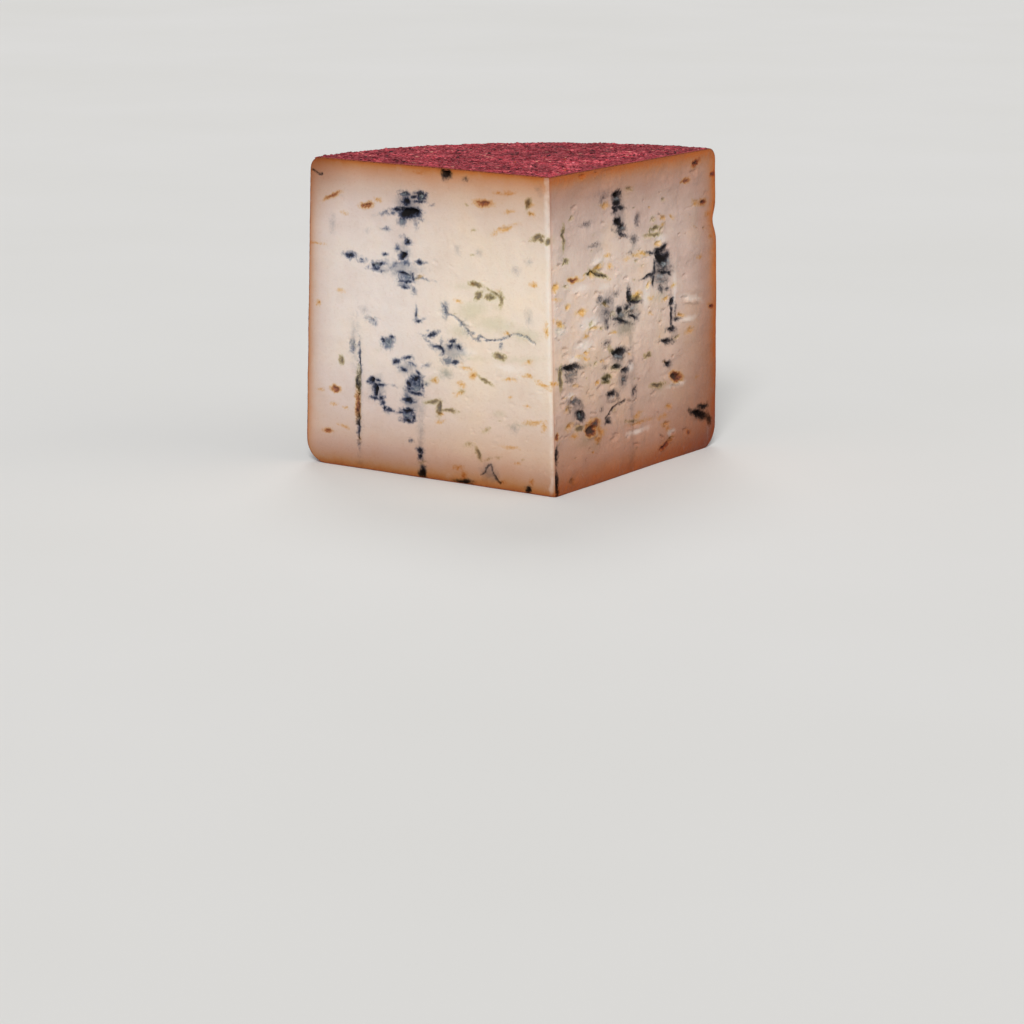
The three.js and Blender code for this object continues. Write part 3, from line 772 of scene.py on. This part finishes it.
def finish_of(add, colour, roughness, normal, **constants):
    """The surface, with its constants by their inputs' names in small letters, and the material's output."""
    inputs = {"Base Color": colour, "Roughness": roughness, "Normal": normal}
    for name, value in constants.items():
        inputs[name.replace("_", " ").title().replace("Ior", "IOR")] = value
    add("OutputMaterial", {0: add("BsdfPrincipled", inputs)})


# Each cut's colour by depth under the rind in millimetres, from the rusty edge to the ivory middle.
RIPENING = {
    LEFT: (
        (0.3, seen(160, 84, 34)), (1.0, seen(171, 102, 48)), (2.0, seen(178, 121, 79)),
        (3.5, seen(184, 135, 104)), (6.0, seen(190, 152, 130)), (10.0, seen(198, 172, 157)),
        (16.0, seen(208, 189, 180)), (26.0, seen(221, 207, 198)), (38.0, seen(230, 218, 210)),
    ),
    RIGHT: (
        (0.3, seen(163, 83, 28)), (1.0, seen(168, 90, 34)), (1.8, seen(173, 96, 42)),
        (3.5, seen(174, 114, 74)), (6.0, seen(174, 129, 106)), (10.0, seen(177, 141, 126)),
        (13.0, seen(185, 155, 141)), (17.0, seen(197, 170, 158)), (25.0, seen(217, 195, 181)),
        (34.0, seen(231, 209, 195)),
    ),
}
RIPENING_REACH = 40.0
# What the paste's own light is multiplied by: where it is warmer, in its stained corner, partly as painted
# shade, and at its foot as painted shade.
WARMTH = {LEFT: (1.07, 1.03, 0.935, 1), RIGHT: (1.0, 0.943, 0.878, 1)}
STAINED_AND_SHADED = (0.6, 0.42, 0.3, 1)
FOOT_SHADE = {LEFT: (0.77, 0.88, 1.09, 1), RIGHT: (0.71, 0.69, 0.89, 1)}
FOOT_SHADE_REACH = 16 * MM
# The same for its mottling by broad clouds, curds and flecks, along the point edge and in haze and moss:
CLOUDED = {LEFT: 0.3, RIGHT: 0.55}
CLOUD_TINT = seen(250, 240, 222)
CURD_TINT = seen(240, 232, 226)
FLECK_TINT = seen(228, 210, 196)
POINT_TINT = seen(236, 226, 222)
HAZE = {LEFT: (0.38, 0.44, 0.53, 1), RIGHT: (0.45, 0.48, 0.53, 1)}
MOSSY = (0.85, 0.885, 0.81, 1)
# The scuffed paste and its painted highlights, the bloom in the oldest pockets, the paste that the growths'
# shades are given for, and those shades:
SCUFFED_AND_LIT = seen(242, 235, 228)
BLOOM_SHADES = ((0.38, seen(84, 91, 100)), (0.6, seen(164, 168, 168)))
USUAL = {LEFT: seen(222, 202, 184), RIGHT: seen(210, 180, 159)}
MOULD_SHADES = {
    LEFT: (
        (0.12, seen(150, 149, 151)), (0.28, seen(124, 127, 135)), (0.42, seen(98, 104, 118)),
        (0.58, seen(60, 67, 85)), (0.74, seen(22, 27, 41)), (0.9, seen(1, 2, 6)),
    ),
    RIGHT: (
        (0.12, seen(144, 126, 116)), (0.28, seen(120, 106, 99)), (0.42, seen(96, 87, 84)),
        (0.58, seen(60, 56, 60)), (0.74, seen(26, 25, 29)), (0.9, seen(2, 2, 4)),
    ),
}
OLIVE_SHADES = (
    (0.15, seen(182, 168, 108)), (0.35, seen(154, 134, 60)),
    (0.6, seen(100, 78, 20)), (0.85, seen(40, 30, 6)),
)
RUST_SHADES = (
    (0.15, seen(212, 164, 88)), (0.35, seen(206, 148, 44)), (0.5, seen(172, 108, 18)),
    (0.68, seen(134, 58, 10)), (0.84, seen(78, 30, 4)), (0.97, seen(38, 14, 3)),
)


def grown(add, colour, name, fray, swirl, covers, stops, usual):
    """A growth laid over a colour: its frayed presence says how much of it shows, in the shade of its swirled
    tone. The shades are those on the cut's usual paste, and where the paste is browner, so are they in
    proportion. Away from its marks none of it shows."""
    presence = field(add, name)
    frayed = rising(add, swung(add, swung(add, presence, swirl, 0.75), fray, 0.25), 0.0, 0.62, covers)
    there = sums(add, "MULTIPLY", frayed, rising(add, presence, 0.0, 0.2))
    tone = swung(add, swung(add, field(add, name + "_tone"), swirl, 0.7), fray, 0.3)
    shade = tinted(add, 1.0, shades(add, tone, stops), colour, "MULTIPLY")
    browned = tinted(add, 1.0, shade, usual, "DIVIDE")
    return tinted(add, there, colour, browned), there


def paste_finish(name, cut, rough):
    """Ivory paste that browns under the rind, with the blue, grey, green and rusty growths laid over it from
    their fields. Each field is frayed by fine clouds before it shows, and mould is drier than the moist
    paste."""
    material, add = new_finish(name)
    place = add("TexCoord", output=3)
    broad = mottle(add, place, 18)
    curds = mottle(add, place, 4)
    fine = mottle(add, place, 0.9, detail=4.0)
    swirl = mottle(add, place, 2.2, twist=1.6)

    depth = field(add, "depth")
    depth = sums(add, "MULTIPLY", depth, swung(add, 1.0, broad, 0.8))
    depth = swung(add, depth, curds, 1.3)
    ripening = [(distance / RIPENING_REACH, shade) for distance, shade in RIPENING[cut]]
    colour = shades(add, sums(add, "DIVIDE", depth, RIPENING_REACH), ripening)
    # Towards the foot of each cut the paste is darkened as painted shade.
    foot = rising(add, add("SeparateXYZ", {0: place}, output=2), 0.0, FOOT_SHADE_REACH)
    colour = tinted(add, sums(add, "SUBTRACT", 1.0, foot), colour, FOOT_SHADE[cut], "MULTIPLY")
    colour = tinted(add, field(add, "warmth"), colour, WARMTH[cut], "MULTIPLY")
    # The stained corner darkens partly as browning under the rind, partly as painted shade.
    colour = tinted(add, field(add, "stain_and_shade"), colour, STAINED_AND_SHADED, "MULTIPLY")
    colour = tinted(add, rising(add, broad, 0.48, 0.7, CLOUDED[cut]), colour, CLOUD_TINT, "MULTIPLY")
    colour = tinted(add, rising(add, curds, 0.5, 0.75, CLOUDED[cut]), colour, CURD_TINT, "MULTIPLY")
    colour = tinted(add, rising(add, fine, 0.52, 0.75, 0.25), colour, FLECK_TINT, "MULTIPLY")
    edge = rising(add, field(add, "across"), 0.2, 1.4)
    colour = tinted(add, sums(add, "SUBTRACT", 1.0, edge), colour, POINT_TINT, "MULTIPLY")
    # Pale scuffs, partly painted highlights on ridges and along the point edge.
    scuff_and_highlight = rising(add, swung(add, field(add, "scuff_and_highlight"), curds, 1.2), 0.1, 1.0, 0.4)
    colour = tinted(add, scuff_and_highlight, colour, SCUFFED_AND_LIT)
    moss = rising(add, swung(add, field(add, "moss"), swirl, 0.7), 0.1, 1.0)
    colour = tinted(add, moss, colour, MOSSY, "MULTIPLY")

    smudge = rising(add, swung(add, field(add, "smudge"), swirl, 0.9), 0.15, 1.15, 0.74)
    colour = tinted(add, smudge, colour, HAZE[cut], "MULTIPLY")
    colour, _ = grown(add, colour, "olive", fine, swirl, 0.8, OLIVE_SHADES, USUAL[cut])
    colour, _ = grown(add, colour, "rust", fine, swirl, 0.9, RUST_SHADES, USUAL[cut])
    colour, mouldy = grown(add, colour, "mould", fine, swirl, 0.97, MOULD_SHADES[cut], USUAL[cut])
    pale = shades(add, swirl, BLOOM_SHADES)
    bloom = rising(add, swung(add, field(add, "bloom"), fine, 1.2), 0.3, 1.0, 0.75)
    colour = tinted(add, bloom, colour, pale)

    roughness = sums(add, "MULTIPLY_ADD", mouldy, 0.3, sums(add, "MULTIPLY_ADD", fine, 0.3, 0.36))
    finest = mottle(add, place, 0.35, detail=2.0)
    relief = sums(add, "MULTIPLY_ADD", finest, 0.4, fine)
    normal = add("Bump", {"Strength": rough, "Distance": 0.3 * MM, "Height": relief})
    shine = sums(add, "MULTIPLY_ADD", mouldy, -0.25, 0.3)
    finish_of(add, colour, roughness, normal, subsurface_weight=0.15, subsurface_scale=1.3 * MM,
              subsurface_radius=(1.0, 0.62, 0.4), ior=1.45, specular_ior_level=shine)
    return material


for side, cut, rough in (("left", LEFT, 0.35), ("right", RIGHT, 0.6)):
    half = make_half("cut_paste_" + side, cut)
    half.data.materials.append(paste_finish("blue_cheese_paste_" + side, cut, rough))
    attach(half, "root")
    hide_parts("cheese_wedge")


# ---- The rind ----
# The wheel was coated all over with dried and crumbled grape skins, which stuck to its moist surface. The coat
# is crimson and fine on the top and the base, and almost black down the side, partly as painted shade, where its
# mould's ribs left rows of bumps. It is made as one closed shell, the wheel's outline carried round from one cut
# to the other.

RIND_INNER = 0.8
RIND_RECESS = 0.12
RIND_TURNS = 200
RIND_INNER_TURNS = 6
RIND_STEPS = (56, 14, 128, 10, 132)
RIB_SPACING = 14
BUMP_SPACING = 6.2
RIND_GRAIN = ((0.14, 2.6, 52), (0.1, 1.1, 53))


def wall_share(up, normal):
    """0 on the top and the base, 1 on the upright side, by how far the outward normal leans over."""
    return smooth(np.cos(normal), 0.45, 0.95) + 0 * up


def rind_relief(points, turn, up, normal):
    """How far the coat stands out of the wheel's outline, in millimetres. Everywhere, random grain of two
    sizes; on the side, ribs of a raised cosine whose bumps are set half a step apart on every other rib. The
    base is pressed flat, so there it only falls inwards."""
    wall = wall_share(up, normal)
    arc = turn * BASE_RADIUS
    rib = 0.5 + 0.5 * np.cos(2 * math.pi * arc / RIB_SPACING)
    bump = 0.5 + 0.5 * np.cos(2 * math.pi * up / BUMP_SPACING + math.pi * np.round(arc / RIB_SPACING))
    worn = 0.6 + 0.4 * unevenness(points, 22, 51)
    grain = layered(points, RIND_GRAIN)
    ribbed = wall * worn * (0.5 * rib**2 * bump + 0.14 * rib)
    relief = grain * (1 + 0.9 * wall) + ribbed + 0.16 * unevenness(points, 9, 54)
    relief = relief * (0.25 + 0.75 * smooth((HALF_TURN - np.abs(turn)) * BASE_RADIUS, 0.3, 2.6))
    base = smooth(-np.sin(normal), 0.2, 0.9)
    return relief * (1 - base) - base * (0.05 + np.abs(grain)) + 0.02


def out_of_wheel(turn, normal):
    """The way out of the wheel's outline at a turn, where it makes the normal's angle with the horizontal."""
    level = np.cos(normal)
    return np.stack([level * np.sin(turn), level * np.cos(turn), np.sin(normal) + 0 * turn], axis=-1)


def rind_place(radius, turn, up, normal, proud):
    """A point of the coat: the wheel's outline carried round the axis, moved with the two cuts' waver in shares
    that run evenly from one cut to the other, and raised along the outward normal."""
    right = (turn + HALF_TURN) / (2 * HALF_TURN)
    place = in_wedge(radius, turn, up)
    for cut, share in ((LEFT, 1 - right), (RIGHT, right)):
        stray = knife_waver(cut * radius, up) - RIND_RECESS
        place = place + (share * stray)[..., None] * out_of_cut(cut * np.maximum(radius, 1e-6))
    place = place + proud[..., None] * out_of_wheel(turn, normal)
    place[..., 2] = np.maximum(place[..., 2], 0)
    return place


def make_rind():
    """A closed coat: the outline is carried round from cut to cut twice, once as the grained outer face and
    once, thinner and turned inwards, as the inner one, and a strip of faces joins them along each cut. Both
    faces end in single points on the axis."""
    sheets, numbers, count = [], [], 0
    for inset, turn_steps in ((0, RIND_TURNS), (RIND_INNER, RIND_INNER_TURNS)):
        radius, height, normal = wheel_section(inset, *RIND_STEPS)
        turns = np.linspace(-HALF_TURN, HALF_TURN, turn_steps + 1)[:, None]
        radius, height, normal, turns = np.broadcast_arrays(radius, height, normal, turns)
        proud = 0 * radius
        if inset == 0:
            flat = in_wedge(radius, turns, height)
            proud = rind_relief(flat, turns, height, normal)
            proud[:, [0, -1]] = proud[:1, [0, -1]]
        sheets.append((rind_place(radius, turns, height, normal, proud), wall_share(height, normal), height))
        number = count + np.arange(radius.size).reshape(radius.shape)
        number[:, 0], number[:, -1] = number[0, 0], number[0, -1]
        numbers.append(number)
        count += radius.size
    outer, inner = numbers
    faces = grid_faces(outer[:, 1:-1].T) + fans(int(outer[0, 0]), int(outer[0, -1]), outer[:, 1:-1])
    turned = grid_faces(inner[:, 1:-1].T) + fans(int(inner[0, 0]), int(inner[0, -1]), inner[:, 1:-1])
    faces += [face[::-1] for face in turned]
    coat_faces = len(faces)
    faces += np.stack([outer[0, :-1], inner[0, :-1], inner[0, 1:], outer[0, 1:]], axis=-1).tolist()
    faces += np.stack([outer[-1, :-1], outer[-1, 1:], inner[-1, 1:], inner[-1, :-1]], axis=-1).tolist()
    points = np.concatenate([sheet[0].reshape(-1, 3) for sheet in sheets])
    wall = np.concatenate([sheet[1].ravel() for sheet in sheets])
    height = np.concatenate([sheet[2].ravel() for sheet in sheets])
    used = np.unique(np.concatenate([np.array(face) for face in faces]))
    renumber = np.zeros(len(points), int)
    renumber[used] = np.arange(len(used))
    faces = [tuple(renumber[list(face)].tolist()) for face in faces]
    piece = solid_of("rind_coat", points[used], faces, {"wall": wall[used], "height": height[used]})
    cut_edge = np.zeros(len(faces), int)
    cut_edge[coat_faces:] = 1
    piece.data.polygons.foreach_set("material_index", cut_edge)
    piece.data.set_sharp_from_angle(angle=math.radians(50))
    return piece


# The coat's shades by its mixed clouds, on the top, just under it and lower on the side, which darken partly
# as painted shade, where it is rubbed thin on the shoulders, partly a painted highlight, and along its cut edge:
TOP_SHADES = (
    (0.28, seen(60, 16, 25)), (0.42, seen(126, 38, 49)), (0.55, seen(172, 63, 74)), (0.72, seen(204, 97, 102)),
)
UPPER_SHADES = ((0.3, seen(22, 8, 14)), (0.45, seen(80, 24, 34)), (0.7, seen(156, 58, 66)))
SIDE_SHADES = (
    (0.3, seen(7, 5, 9)), (0.48, seen(30, 11, 18)), (0.62, seen(84, 26, 36)), (0.8, seen(140, 50, 56)),
)
RUBBED_AND_HIGHLIGHT = seen(206, 140, 120)
EDGE_SHADES = ((0.3, seen(84, 34, 26)), (0.5, seen(132, 66, 38)), (0.7, seen(160, 90, 52)))


def rind_finish():
    """Crimson crumb on top, darkening down the side to almost black, partly as painted shade, flecked light and
    dark in fine clouds, with broken pale patches on the shoulders where the coat is rubbed thin, partly as a
    painted highlight."""
    material, add = new_finish("grape_skin_rind")
    place = add("TexCoord", output=3)
    grain = mottle(add, place, 1.1, detail=4.0, rough=0.65)
    patch = mottle(add, place, 9)
    fine = mottle(add, place, 0.4, detail=2.0)
    mixed = swung(add, grain, patch, 0.4)
    top = shades(add, mixed, TOP_SHADES)
    side = shades(add, mixed, SIDE_SHADES)
    wall = field(add, "wall")
    # Lower on the side the coat darkens, partly in its own colour and partly as painted shade.
    lowered = rising(add, swung(add, field(add, "height"), patch, 50.0), 118.0, 88.0)
    upper = shades(add, mixed, UPPER_SHADES)
    colour = tinted(add, wall, top, tinted(add, lowered, upper, side))
    # Pale patches on the shoulders: the coat rubbed thin, partly a painted highlight.
    shoulder = sums(add, "SUBTRACT", rising(add, wall, 0.02, 0.3), rising(add, wall, 0.3, 0.8))
    rubbed_and_highlight = sums(add, "MULTIPLY", shoulder, rising(add, swung(add, patch, grain, 0.6), 0.5, 0.62, 0.7))
    colour = tinted(add, rubbed_and_highlight, colour, RUBBED_AND_HIGHLIGHT)
    relief = sums(add, "MULTIPLY_ADD", fine, 0.4, grain)
    normal = add("Bump", {"Strength": 0.8, "Distance": 0.5 * MM, "Height": relief})
    roughness = sums(add, "MULTIPLY_ADD", fine, 0.3, 0.6)
    finish_of(add, colour, roughness, normal, ior=1.45, specular_ior_level=0.2)
    return material


def rind_edge_finish():
    """The coat's own cut edge, stained brown by the paste's moisture."""
    material, add = new_finish("rind_cut_edge")
    place = add("TexCoord", output=3)
    grain = mottle(add, place, 0.8)
    colour = shades(add, grain, EDGE_SHADES)
    normal = add("Bump", {"Strength": 0.6, "Distance": 0.3 * MM, "Height": grain})
    roughness = sums(add, "MULTIPLY_ADD", grain, 0.3, 0.5)
    finish_of(add, colour, roughness, normal, ior=1.45, specular_ior_level=0.3)
    return material


rind = make_rind()
rind.data.materials.append(rind_finish())
rind.data.materials.append(rind_edge_finish())
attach(rind, "root")
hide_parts("cheese_wedge")


# ---- The crumbs of the rind ----
# The coat's larger bits are whole crumbs of grape skin and stalk, pressed half into it while it was damp. They
# are redder and flatter on the top, and thicker and darker down the side, where the darkness is partly painted
# shade. Each is one small uneven solid.

ICOSAHEDRON_RISE = (1 + math.sqrt(5)) / 2
CUT_CLEARANCE = 1.4


def crumb_form():
    """The twelve corners of an icosahedron, from (0, 1, g), (1, g, 0) and (g, 0, 1) with every pair of signs,
    and its twenty faces: every three corners that are one edge apart, turned to face out."""
    g = ICOSAHEDRON_RISE
    corners = [np.roll((0, a, b * g), turn) for turn in range(3) for a in (-1, 1) for b in (-1, 1)]
    corners = np.array(corners) / math.hypot(1, g)
    edge = 2 / math.hypot(1, g) + 0.01
    near = np.linalg.norm(corners[:, None] - corners, axis=-1) < edge
    faces = []
    for i in range(12):
        for j in range(i + 1, 12):
            for k in range(j + 1, 12):
                if near[i, j] and near[j, k] and near[i, k]:
                    out = np.dot(np.cross(corners[j] - corners[i], corners[k] - corners[i]), corners[i])
                    faces.append((i, j, k) if out > 0 else (i, k, j))
    return corners, np.array(faces)


def make_crumbs(name, radius, up, normal, sizes, redness, seed):
    """One crumb for each place on the coat: the crumb form with every corner moved in or out at random,
    stretched to its length, width and thickness, turned about the outward normal, tilted a little, and set
    half into the coat. No crumb's middle is nearer to a cut than the clearance, since the knife took those
    away."""
    chance = np.random.default_rng(seed)
    corners, faces = crumb_form()
    number = len(radius)
    turn = chance.uniform(-1, 1, number) * np.maximum(HALF_TURN - CUT_CLEARANCE / radius, 0)
    flat = in_wedge(radius, turn, up)
    centre = rind_place(radius, turn, up, normal, rind_relief(flat, turn, up, normal) + 0.08 * sizes[:, 2])
    tilted = out_of_wheel(turn, normal) + 0.13 * chance.normal(size=(number, 3))
    tilted /= np.linalg.norm(tilted, axis=-1, keepdims=True)
    aside = np.cross(tilted, chance.normal(size=(number, 3)))
    aside /= np.linalg.norm(aside, axis=-1, keepdims=True)
    ahead = np.cross(tilted, aside)
    axes = np.stack([aside, ahead, tilted], axis=1) * sizes[..., None] / 2
    form = corners * chance.uniform(0.65, 1.2, (number, 12, 1))
    points = centre[:, None] + form @ axes
    points[..., 2] = np.maximum(points[..., 2], 0)
    every = (faces + 12 * np.arange(number)[:, None, None]).reshape(-1, 3)
    stalky = unevenness(flat, 9, seed) > 0.35
    shade = crumb_colours(redness, stalky, chance) * chance.uniform(0.88, 1.14, (number, 1))
    # Random patches of tone, and mostly on the top a fall from lighter near the point to darker at the rim,
    # partly painted light.
    patches_and_painted_light = 0.42 * unevenness(flat, 3.8, seed + 1) + 0.44 * unevenness(flat, 9, seed + 2)
    patches_and_painted_light += 0.3 * unevenness(flat, 30, seed + 3) + redness * (0.14 - 0.24 * radius / TOP_RADIUS)
    shade *= np.exp(patches_and_painted_light)[:, None]
    shade = np.append(np.clip(np.repeat(shade, 12, axis=0), 0, 1), np.ones((12 * number, 1)), axis=1)
    return solid_of(name, points.reshape(-1, 3), every.tolist(), {"skin": shade})


# The skins' colours, and how often each is drawn on the top, on the side and where the side has stalks:
SKINS = (
    seen(66, 18, 28), seen(146, 47, 59), seen(184, 72, 82), seen(210, 99, 106), seen(216, 150, 130),
    seen(214, 92, 44), seen(10, 7, 12), seen(40, 14, 23), seen(92, 29, 40), seen(74, 54, 34),
)
TOP_WEIGHTS = (0.07, 0.31, 0.4, 0.19, 0.012, 0.002, 0.012, 0, 0, 0)
# The side's mostly near-black draws are partly painted shade.
SIDE_WEIGHTS = (0.1, 0.07, 0.035, 0.015, 0.008, 0.004, 0.36, 0.24, 0.168, 0)
STALK_WEIGHTS = (0.08, 0.05, 0.03, 0.02, 0.02, 0.01, 0.28, 0.14, 0.11, 0.26)


def crumb_colours(redness, stalky, chance):
    """A colour for each crumb, drawn from the skins by weights that run from the side's to the top's with its
    redness, or by those with bits of stalk where the coat has them, and blended with a second draw."""
    weights = np.where(stalky[:, None], STALK_WEIGHTS, SIDE_WEIGHTS)
    weights = weights + redness[:, None] * (np.array(TOP_WEIGHTS) - weights)
    stairs = np.cumsum(weights, axis=1) / np.sum(weights, axis=1, keepdims=True)
    chosen = np.array([colour[:3] for colour in SKINS])
    each = (len(stairs), 1)
    first, second = [chosen[np.sum(chance.random(each) > stairs[:, :-1], axis=1)] for _ in range(2)]
    return first + 0.3 * chance.random(each) * (second - first)


CREASE_TINT = seen(126, 96, 100)


def crumb_finish(name):
    """Dried skin in the crumb's own colour, darker in its creases."""
    material, add = new_finish(name)
    place = add("TexCoord", output=3)
    fine = mottle(add, place, 0.45)
    own = add("Attribute", output=0, attribute_name="skin")
    colour = tinted(add, rising(add, fine, 0.35, 0.6, 0.45), own, CREASE_TINT, "MULTIPLY")
    normal = add("Bump", {"Strength": 0.6, "Distance": 0.2 * MM, "Height": fine})
    roughness = sums(add, "MULTIPLY_ADD", fine, 0.4, 0.5)
    finish_of(add, colour, roughness, normal, ior=1.45, specular_ior_level=0.2)
    return material


CRUMB_FINISH = crumb_finish("grape_skin_crumb")


def crumb_sizes(chance, number, length, width, thickness):
    """Random sizes between the two ends given for each way, most of them small."""
    share = chance.random((number, 1)) ** 1.6
    ends = np.array([length, width, thickness])
    return (ends[:, 0] + share * (ends[:, 1] - ends[:, 0])) * chance.uniform(0.8, 1.2, (number, 3))


def top_crumbs(number, seed):
    """Crumbs over the top and its shoulder, evenly by area: the radius times the root of a random share."""
    chance = np.random.default_rng(seed)
    section_r, section_z, section_n = wheel_section(0, *RIND_STEPS)
    crown = sum(RIND_STEPS[:3])
    radius = (TOP_RADIUS - 0.3) * np.sqrt(chance.random(number))
    order = slice(None, crown - 1, -1)
    up = np.interp(radius, section_r[order], section_z[order])
    normal = np.interp(radius, section_r[order], section_n[order])
    sizes = crumb_sizes(chance, number, (1.1, 3.0), (0.8, 1.8), (0.25, 0.5))
    return make_crumbs("rind_crumbs_top", radius, up, normal, sizes, np.ones(number), seed + 1)


def side_crumbs(number, seed):
    """Crumbs up the side, evenly by height and redder towards the top."""
    chance = np.random.default_rng(seed)
    section_r, section_z, section_n = wheel_section(0, *RIND_STEPS)
    side = slice(RIND_STEPS[0] + 2, sum(RIND_STEPS[:4]))
    up = chance.uniform(section_z[side][0], section_z[side][-1], number)
    radius = np.interp(up, section_z[side], section_r[side])
    normal = np.interp(up, section_z[side], section_n[side])
    sizes = crumb_sizes(chance, number, (1.1, 2.8), (0.8, 1.8), (0.35, 0.8))
    sizes[:, 2] *= 1 - 0.55 * smooth(up, 104, 118)
    # Redder towards the top and darker lower down: partly the skins' own colour, partly painted shade.
    redness = 0.06 + 0.5 * smooth(up, 82, 116)
    return make_crumbs("rind_crumbs_side", radius, up, normal, sizes, redness, seed + 1)


for crumbs in (top_crumbs(9000, 61), side_crumbs(9800, 71)):
    crumbs.data.materials.append(CRUMB_FINISH)
    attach(crumbs, "root")
    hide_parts("cheese_wedge")


# ---- The floor, the light and the camera ----
# A plain pale floor under soft studio light: a broad key from the camera's left, a weak warm fill from its
# right, a weak lamp from behind and a pale room. The camera stands a little to the left of the point and looks
# down on it.

FLOOR_HALF = 8.0
FLOOR_SHADES = ((0.3, seen(221, 220, 217)), (0.7, seen(224, 223, 221)))
CAMERA_FROM_AXIS = (-227.1, -1114.5, 260.7)
CAMERA_PITCH = 13.17
CAMERA_TURN = 10.7
LENS = 110
SENSOR = 36
ROOM_STRENGTH = 0.3


def make_floor():
    """One large level square."""
    corners = np.array([(-1, -1, 0), (1, -1, 0), (1, 1, 0), (-1, 1, 0)]) * FLOOR_HALF / MM
    piece = solid_of("floor", corners, [(0, 1, 2, 3)], {})
    material, add = new_finish("pale_floor")
    cloud = mottle(add, add("TexCoord", output=3), 300)
    colour = shades(add, cloud, FLOOR_SHADES)
    add("OutputMaterial", {0: add("BsdfPrincipled", {"Base Color": colour, "Roughness": 0.8})})
    piece.data.materials.append(material)
    return piece


def far_lamp(name, azimuth, elevation, spread, strength, colour=(1, 1, 1)):
    """A far, broad lamp: the azimuth and elevation at which it stands and the angle that it spreads over are
    in degrees, the azimuth counted from +X towards +Y."""
    lamp = bpy.data.lights.new(name, "SUN")
    lamp.angle = math.radians(spread)
    lamp.energy = strength
    lamp.color = colour
    holder = bpy.data.objects.new(name, lamp)
    bpy.context.scene.collection.objects.link(holder)
    holder.rotation_euler = (math.radians(90 - elevation), 0, math.radians(azimuth + 90))
    return holder


make_floor()
far_lamp("key_lamp", 255, 38, 18, 2.35)
far_lamp("fill_lamp", 332, 25, 40, 0.4, (1, 0.97, 0.94))
far_lamp("back_lamp", 80, 50, 25, 0.6)

world = bpy.data.worlds.new("pale_room")
world.use_nodes = True
room = world.node_tree.nodes["Background"]
room.inputs["Color"].default_value = (1, 1, 1, 1)
room.inputs["Strength"].default_value = ROOM_STRENGTH
bpy.context.scene.world = world
bpy.context.scene.view_settings.view_transform = "Standard"

camera_data = bpy.data.cameras.new("camera")
camera_data.lens = LENS
camera_data.sensor_width = SENSOR
camera = bpy.data.objects.new("camera", camera_data)
bpy.context.scene.collection.objects.link(camera)
camera.location = (CAMERA_FROM_AXIS[0] * MM, (CAMERA_FROM_AXIS[1] + AXIS_Y) * MM, CAMERA_FROM_AXIS[2] * MM)
camera.rotation_euler = (math.radians(90 - CAMERA_PITCH), 0, math.radians(-CAMERA_TURN))
bpy.context.scene.camera = camera
